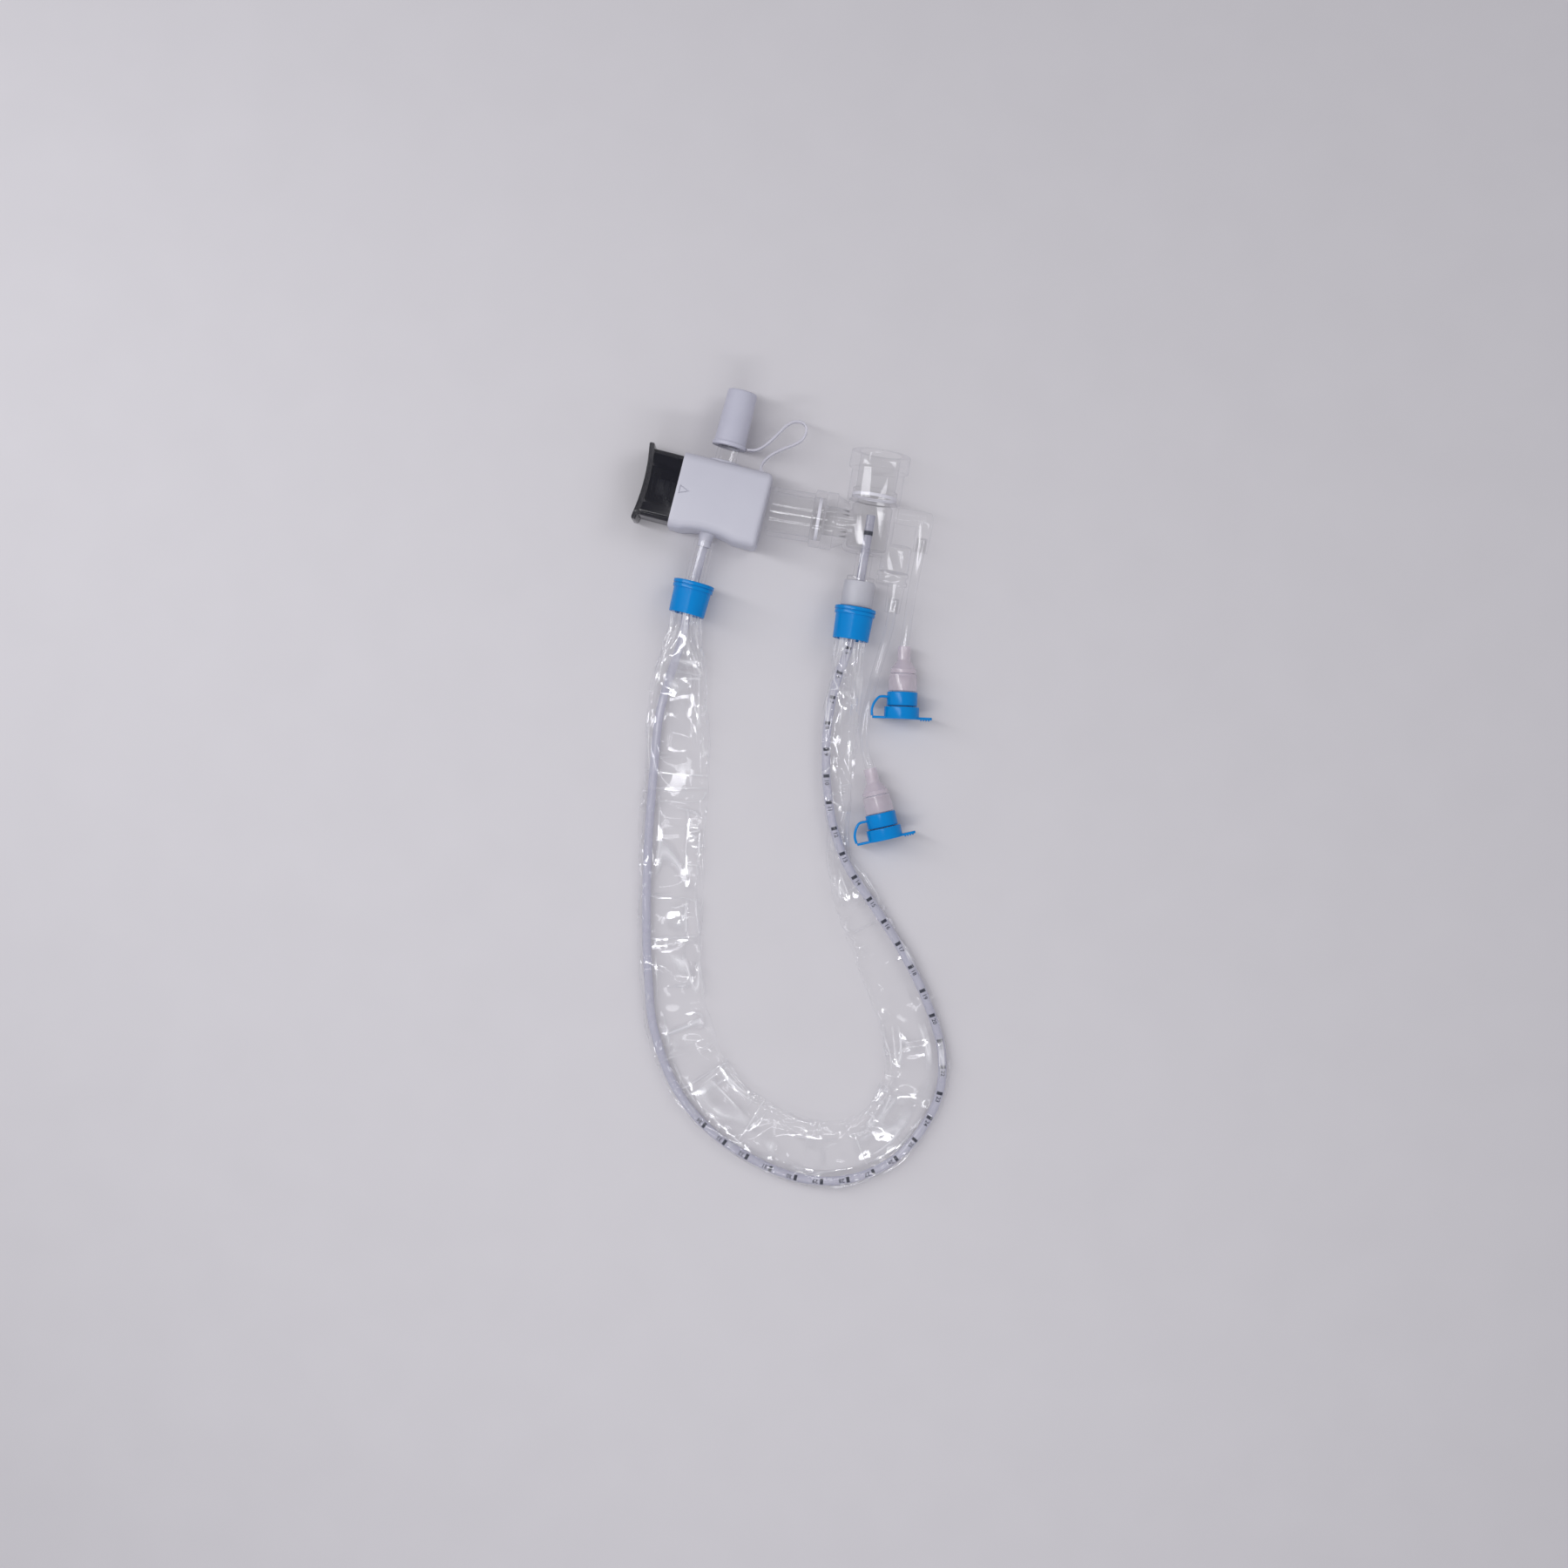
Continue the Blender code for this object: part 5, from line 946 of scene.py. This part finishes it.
def addElbow():
    facts = elbow
    radius, end = facts["radius"], facts["socketEnd"]
    corner = shifted(facts["turnAt"]) @ turned(-90)
    run = turnedMesh([(9.75, 0.0), (9.75, radius, 0.3), (facts["turnAt"], radius, 0.8),
                      (22.9, 2.2, 1.2), (22.9, 0.0)], 64)
    socket = turnedMesh([(-2.9, 0.0), (-2.9, 2.2, 1.0), (0.0, radius, 1.2), (3.2, radius, 0.6),
                         (end, 2.75, 0.3), (end, 0.0)], 64)
    hollow = rodMesh(6.9, end + 1.0, flushTube["bore"])
    mesh = combine(run, [("UNION", socket, corner), ("DIFFERENCE", hollow, corner)])
    addPiece("flushElbow", mesh, teeAt @ shifted(0, facts["level"] * mm), "clear",
             nodes=["flush_elbow"])


def addFitting():
    facts = fitting
    rim, end = facts["rimRadius"], facts["socketEnd"]
    side = shifted(facts["socketAt"]) @ turned(-90)
    head = turnedMesh([(15.1, 0.0), (15.1, rim, 0.35), (16.8, rim, 0.35), (16.8, 5.3, 0.2),
                       (18.4, 5.3, 0.2), (18.4, rim, 0.35), (19.9, rim, 0.35), (19.9, 0.0)], 80)
    head.transform(shifted(facts["at"]) @ turned(-90))
    socket = turnedMesh([(18.6, 0.0), (18.6, 3.3), (end, 2.8, 0.3), (end, 0.0)], 64)
    hollow = rodMesh(24.8, end + 1.0, flushTube["bore"])
    mesh = combine(head, [("UNION", socket, side), ("DIFFERENCE", hollow, side)])
    addPiece("flushFitting", mesh, teeAt, "clear", nodes=["flush_fitting"])


# Check valves, collars and lids. Distances run along each valve's axis from its stem's end.

checkValves = ({"start": (76.8, -41.5, 6.7), "heading": -82.9},
               {"start": (71.6, -88.9, 6.7), "heading": -67.8})
checkAt = [shifted(*(place * mm for place in facts["start"])) @ turned(facts["heading"])
           for facts in checkValves]

strap = {"leave": 19.2, "reach": 11.3, "hinge": 26.9, "width": 4.0, "thickness": 0.9}
lid = {"end": 27.4, "plate": 0.9, "ridgeSpacing": 0.95}


def strapMesh():
    facts = strap
    route = [(facts["leave"], -5.1), (facts["leave"], -8.15),
             (facts["leave"] + 1.2, 1.6 - facts["reach"]), (facts["leave"] + 3.4, 0.4 - facts["reach"]),
             (facts["hinge"] - 2.4, -facts["reach"]), (facts["hinge"] - 0.47, 0.2 - facts["reach"])]
    points = smoothRoute([(x, y, 0.0) for x, y in route], 0.5)
    return stripMesh(points, facts["thickness"], facts["width"], 0.3)


def tabMesh():
    facts = lid
    rings = []
    sections = ((-11.0, 2.0), (-6.6, 2.0), (-4.6, 2.5), (4.6, 2.5), (10.2, 2.5), (10.9, 2.3),
                (11.3, 1.8), (11.4, 1.4))
    for across, reach in sections:
        section = roundedSection(facts["end"] - facts["plate"], facts["end"], -reach, reach, 0.25, 4)
        rings.append([(x, across, z) for x, z in section])
    return loftMesh(rings)


def addCheckValve(number, at):
    bore = flushTube["bore"]
    addPiece(f"checkValveOutlet{number}", turnedMesh([
        (0.0, bore), (0.0, 2.45, 0.2), (5.3, 2.45, 0.5), (8.6, 4.6, 0.3), (8.6, 4.9, 0.2),
        (10.2, 4.9), (10.2, 3.8, 0.1), (9.4, 3.8, 0.1), (5.3, 1.0, 0.1), (5.3, bore, 0.1)]),
        at, "pinkish", nodes=[f"check_valve_outlet_{number}"])
    addPiece(f"checkValveInlet{number}", turnedMesh([
        (10.5, 3.8), (10.5, 5.1), (16.9, 5.45, 0.35), (16.9, 3.9, 0.1), (26.1, 3.9), (26.1, 2.15),
        (12.2, 2.15), (11.2, 3.8)]), at, "pinkish", nodes=[f"check_valve_inlet_{number}"])
    addPiece(f"checkValveDisc{number}", turnedMesh([
        (10.1, 0.0), (10.1, 3.5), (10.9, 3.5), (10.9, 0.0)], 64), at, "silicone",
        nodes=[f"check_valve_disc_{number}"])
    collar = turnedMesh([(17.2, 4.2), (17.2, 5.75, 0.45), (22.5, 5.75, 0.35), (22.5, 4.2)])
    addPiece(f"flushCollar{number}", combine(collar, [("UNION", strapMesh(), inPlace)]), at,
             "blue", nodes=[f"flush_collar_{number}"])
    shell = turnedMesh([
        (22.8, 5.6), (22.8, 6.6, 0.35), (27.4, 6.6, 0.35), (27.4, 0.0), (24.4, 0.0), (24.4, 1.75),
        (26.4, 1.75), (26.4, 5.6)])
    line = [(lid["end"], across, 0.0) for across in (7.4, 10.3)]
    low = boxMesh((-0.22, -0.45, -2.1), (0.22, 0.25, 2.1), 0.1)
    ridges = repeatAlong("gripRidges", line, low, lid["ridgeSpacing"], "blue")
    steps = [("UNION", tabMesh(), inPlace), ("UNION", ridges, inPlace)]
    addPiece(f"flushLid{number}", combine(shell, steps), at, "blue", f"flush_lid_{number}",
             [f"flush_lid_{number}"])


# Flush tubes, the catheter and its marks, and the film sleeve

flushTube = {"radius": 1.68, "bore": 1.98, "inside": 5.0, "routes": (
    ((76.4, -12.0, 10.9), (76.2, -18.4, 10.0), (76.3, -26.0, 8.5), (76.5, -33.0, 7.3)),
    ((69.9, -35.0, 10.0), (69.4, -41.0, 8.2), (68.5, -48.5, 5.4), (67.7, -56.0, 2.9),
     (67.2, -64.0, 1.9), (67.1, -71.0, 1.9), (67.7, -77.5, 2.7), (69.0, -83.2, 4.9)))}


def addFlushTubes():
    # each tube starts 5 mm inside its socket and ends 5 mm inside its check valve's stem
    depth = flushTube["inside"]
    starts = ((elbow["turnAt"], elbow["level"] - elbow["tubeFrom"]),
              (fitting["socketAt"], -fitting["tubeFrom"]))
    for number, (start, middle, at) in enumerate(zip(starts, flushTube["routes"], checkAt), 1):
        route = [teeAt @ Vector((start[0] * mm, (start[1] - along) * mm, 0)) / mm
                 for along in (0.0, depth)]
        route += [Vector(point) for point in middle]
        route += [at.to_translation() / mm, at @ Vector((depth * mm, 0, 0)) / mm]
        points = smoothRoute(route, 0.8)
        thing = addPiece(f"flushTube{number}", tubeMesh(points, flushTube["radius"], 36),
                         inPlace, "flush", nodes=[f"flush_tube_{number}"])
        routeLength(points) * mm


catheter = {"radius": 1.665, "bore": 1.965, "tip": 4.6, "ringAt": 6.0, "ringLength": 1.6,
            "firstMark": 5, "lastMark": 34, "digitSize": 2.2, "route": (
                (-5.9, -50.5, 8.4), (-7.3, -60.0, 5.4), (-9.2, -72.4, 3.5), (-10.0, -84.0, 3.3),
                (-8.8, -101.6, 3.3), (-6.2, -130.2, 3.3), (-2.2, -158.4, 3.3), (2.3, -180.8, 3.3),
                (7.9, -200.3, 3.3), (20.6, -221.4, 3.3), (39.6, -236.3, 3.3), (66.0, -245.2, 3.3),
                (88.0, -243.5, 3.4), (106.3, -231.6, 3.4), (117.0, -210.2, 3.3),
                (116.3, -190.8, 3.4), (107.2, -171.8, 3.5), (95.4, -155.2, 3.6),
                (82.0, -140.1, 3.9), (69.4, -126.4, 4.3), (61.4, -112.0, 4.6), (56.8, -98.1, 4.8),
                (54.7, -87.7, 4.9), (53.4, -77.7, 5.0), (53.2, -67.9, 5.4), (53.9, -58.0, 7.0),
                (55.5, -49.6, 9.8))}
ringEnds = {"valve": 43.75, "tee": 42.6}


def catheterPoints():
    start = 12.85
    route = [neckAt @ Vector(((start + share * (ringEnds["valve"] - start)) * mm, 0, 0)) / mm
             for share in (0.0, 0.35, 0.7, 1.0)]
    route += [Vector(point) for point in catheter["route"]]
    reach = ringEnds["tee"] + catheter["tip"]
    route += [towardsCatheter @ Vector(((ringEnds["tee"] - share * reach) * mm, 0, 0)) / mm
              for share in (0.0, 0.3, 0.6, 1.0)]
    return smoothRoute(route, 1.0)


def surfaceFrame(points, fromTip):
    # Place and directions on the catheter's line at a distance from the tip
    index = min(max(len(points) - 1 - fromTip, 0.0), len(points) - 1.001)
    low = int(index)
    place = points[low].lerp(points[low + 1], index - low)
    along = (points[low + 1] - points[low]).normalized()
    side = along.cross(Vector((0, 0, 1))).normalized()
    return place, along, side, side.cross(along)


def wrapOnTube(mesh, points, fromTip):
    # Lays a flat mesh on the tube: its X runs away from the tip and its Y goes round the tube
    form = bmesh.new()
    form.from_mesh(mesh)
    for cut in range(-6, 7):
        bmesh.ops.bisect_plane(form, geom=form.verts[:] + form.edges[:] + form.faces[:],
                               plane_co=(0, cut * 0.18, 0), plane_no=(0, 1, 0))
    radius = catheter["radius"] + 0.01
    for corner in form.verts:
        place, along, side, up = surfaceFrame(points, fromTip + corner.co.x)
        angle = corner.co.y / radius
        lift = radius + corner.co.z
        corner.co = place + lift * (up * math.cos(angle) + side * math.sin(angle))
    form.to_mesh(mesh)
    form.free()
    return mesh


def numberMesh(number):
    text = bpy.data.curves.new("digits", "FONT")
    text.body = str(number)
    text.size = catheter["digitSize"]
    text.align_y = "CENTER"
    text.offset = 0.04
    text.resolution_u = 2
    return bakeModifiers(newObject("digits", text))


def addMarks(points):
    facts = catheter
    first = len(points) - 1 - 10 * facts["firstMark"]
    last = len(points) - 1 - 10 * facts["lastMark"]
    dash = loftMesh([[(x, reach * math.sin(math.radians(turn)),
                               reach * math.cos(math.radians(turn)))
                              for x, reach in ((-0.6, facts["radius"] - 0.05),
                                               (-0.6, facts["radius"] + 0.03),
                                               (0.6, facts["radius"] + 0.03),
                                               (0.6, facts["radius"] - 0.05))]
                             for turn in range(-40, 41, 10)])
    line = [point[:] for point in reversed(points[last:first + 1])]
    prints = [repeatAlong("centimetreDashes", line, dash, 10.0, "ink")]
    for number in range(facts["firstMark"], facts["lastMark"] + 1):
        prints.append(wrapOnTube(numberMesh(number), points, 10 * number + 1.3))
    return prints


def addCatheter():
    facts = catheter
    points = catheterPoints()
    tube = addPiece("catheterTube", tubeMesh(points, facts["radius"], 36),
                    inPlace, "catheter", nodes=["catheter"])
    prints = addMarks(points)
    ring = turnedMesh([(0.0, facts["radius"] + 0.005), (0.0, facts["radius"] + 0.04),
                                  (facts["ringLength"], facts["radius"] + 0.04),
                                  (facts["ringLength"], facts["radius"] + 0.005)], 48, 0)
    ring.transform(shifted(*teeSpot) @ turned(-90)
                   @ shifted(facts["ringAt"] - facts["tip"]))
    prints.append(ring)
    marks = addPiece("catheterMarks", joinMeshes(prints), inPlace, "ink")
    film = addFilm(points)
    routeLength(points) * mm


film = {"seed": 11, "sides": 72, "spacing": 1.1, "endRadius": 5.9, "tuck": 7.0, "girth": 8.0,
        "tilt": 0.75, "sag": 0.7, "cell": 10.0, "pleats": 11, "pleatDepth": 0.9,
        "pleatReach": 26.0, "clearance": 2.15,
        "route": (
            (-5.6, -48.0, 9.4, 6.6, 5.6), (-5.6, -56.0, 7.2, 8.6, 5.3), (-4.6, -68.0, 5.0, 11.2, 4.4),
            (-2.6, -84.0, 3.8, 12.6, 3.5), (-0.4, -101.6, 3.55, 12.8, 3.4),
            (2.6, -130.2, 3.55, 13.0, 3.4), (7.0, -158.4, 3.55, 13.2, 3.4),
            (11.0, -179.0, 3.55, 13.0, 3.4), (16.4, -196.4, 3.55, 12.6, 3.4),
            (27.6, -214.4, 3.55, 12.6, 3.4), (44.4, -227.6, 3.55, 12.6, 3.4),
            (66.2, -235.0, 3.55, 12.8, 3.4), (84.6, -234.4, 3.55, 12.8, 3.4),
            (99.4, -225.2, 3.55, 12.8, 3.4), (107.2, -208.4, 3.55, 12.8, 3.4),
            (107.2, -194.0, 3.55, 12.6, 3.4), (100.6, -177.6, 3.55, 11.8, 3.4),
            (90.6, -161.6, 3.8, 10.6, 3.6), (78.6, -144.6, 4.2, 9.2, 4.0),
            (67.7, -127.4, 4.7, 6.6, 4.5), (63.6, -115.0, 5.2, 4.7, 5.0),
            (61.2, -101.0, 5.6, 6.3, 5.3), (59.4, -86.0, 5.7, 7.4, 5.5),
            (58.0, -72.0, 5.9, 7.6, 5.5), (57.2, -60.0, 7.2, 7.0, 5.5), (56.5, -50.0, 9.8, 6.4, 5.7))}


def filmStations():
    reach = film["endRadius"]

    def mouth(at, along):
        return (*(at @ Vector((along * mm, 0, 0)) / mm), reach, reach)

    stations = [mouth(neckAt, ringEnds["valve"] + 0.5), *film["route"],
                mouth(towardsCatheter, ringEnds["tee"] + 0.5)]
    inside = [mouth(neckAt, ringEnds["valve"] - film["tuck"]),
              mouth(towardsCatheter, ringEnds["tee"] - film["tuck"])]
    return [Vector(inside[0])] + smoothRoute(stations, film["spacing"]) + [Vector(inside[1])]


def facetDepth(way, cell):
    # Flat facets, longer than wide and each tilted its own way, that meet in narrow creases
    spot = Vector((way.x / 2.4, way.y, way.z)) / cell
    gaps, centres = noise.voronoi(spot)
    tilt = film["tilt"] * noise.noise_vector(centres[0] * 5.1)
    return cell * (spot - centres[0]).dot(tilt) * min(1.0, 3.5 * (gaps[1] - gaps[0]))


def creaseDepth(way, angle, fromEnd):
    # How far the film is drawn in by its facets, and by pleats near the rings
    facts = film
    grow = min(1.0, fromEnd / 12)
    facets = facetDepth(way, facts["cell"]) + facetDepth(way, facts["cell"] * 0.45)
    crumple = grow * min(2.2, max(0.0, facts["sag"] + facets))
    fold = math.cos(facts["pleats"] * angle + 3.0 * noise.noise(way / 14))
    fade = math.exp(-fromEnd / facts["pleatReach"])
    pleat = facts["pleatDepth"] * fade * (0.5 - 0.5 * fold)
    return crumple + pleat * min(1.0, 0.25 + fromEnd / 3)


def addFilm(catheterLine):
    facts = film
    # without its own seed noise_vector gives other facets in each run
    noise.seed_set(facts["seed"])
    tree = kdtree.KDTree(len(catheterLine))
    for k, point in enumerate(catheterLine):
        tree.insert(point, k)
    tree.balance()
    points = filmStations()
    rings, ways, pleated = [], [], []
    for k, point in enumerate(points):
        along = (Vector(points[min(k + 1, len(points) - 1)][:3])
                 - Vector(points[max(k - 1, 0)][:3])).normalized()
        side = Vector((-along.y, along.x, 0)).normalized()
        centre = Vector(point[:3])
        width, height = point[3], point[4]
        flat = min(1.0, max(0.0, width / facts["endRadius"] - 1.0) * 1.6)
        power = 2.0 + 1.4 * flat
        fromEnd = max(0.0, min(k - 1, len(points) - 2 - k)) * facts["spacing"]
        ring = []
        for n in range(facts["sides"]):
            angle = 2 * math.pi * n / facts["sides"]
            c, s = math.cos(angle), math.sin(angle)
            way = Vector((k * facts["spacing"], facts["girth"] * c, facts["girth"] * s))
            across = math.copysign(abs(c) ** (2 / power), c)
            up = math.copysign(abs(s) ** (2 / power), s)
            tilt = Vector((math.copysign(abs(across) ** (power - 1), c) / width,
                           math.copysign(abs(up) ** (power - 1), s) / height)).normalized()
            outward = side * tilt.x + Vector((0, 0, tilt.y))
            spot = centre + side * across * width + Vector((0, 0, up * height))
            if 0 < k < len(points) - 1:
                spot -= outward * creaseDepth(way, angle, fromEnd)
            near, _, gap = tree.find(spot)
            if gap < facts["clearance"]:
                spot = near + (spot - near).normalized() * facts["clearance"]
            ring.append(spot)
            ways.extend(way * mm)
            pleated.append(math.exp(-fromEnd / facts["pleatReach"]))
        rings.append(ring)
    mesh = loftMesh(rings)
    # the film's own coordinates, in metres along it and round it, carry its fold lines
    mesh.attributes.new("sleeveWay", "FLOAT_VECTOR", "POINT").data.foreach_set("vector", ways)
    mesh.attributes.new("pleated", "FLOAT", "POINT").data.foreach_set("value", pleated)
    return addPiece("filmSleeve", mesh, inPlace, "film", nodes=["sleeve"], sharp=60)


makeCamera()
makeStudio()
print("camera and studio done")
addHousing()
addButton()
addValveInside()
addStubAndCap()
addTether()
addAdapter()
addRings()
print("valve done")
addTee()
addSwivels()
addSealHousing()
addElbow()
addFitting()
print("tee done")
for valveNumber, valvePlace in enumerate(checkAt, 1):
    addCheckValve(valveNumber, valvePlace)
addFlushTubes()
print("check valves and flush tubes done")
addCatheter()
print("catheter and film done")
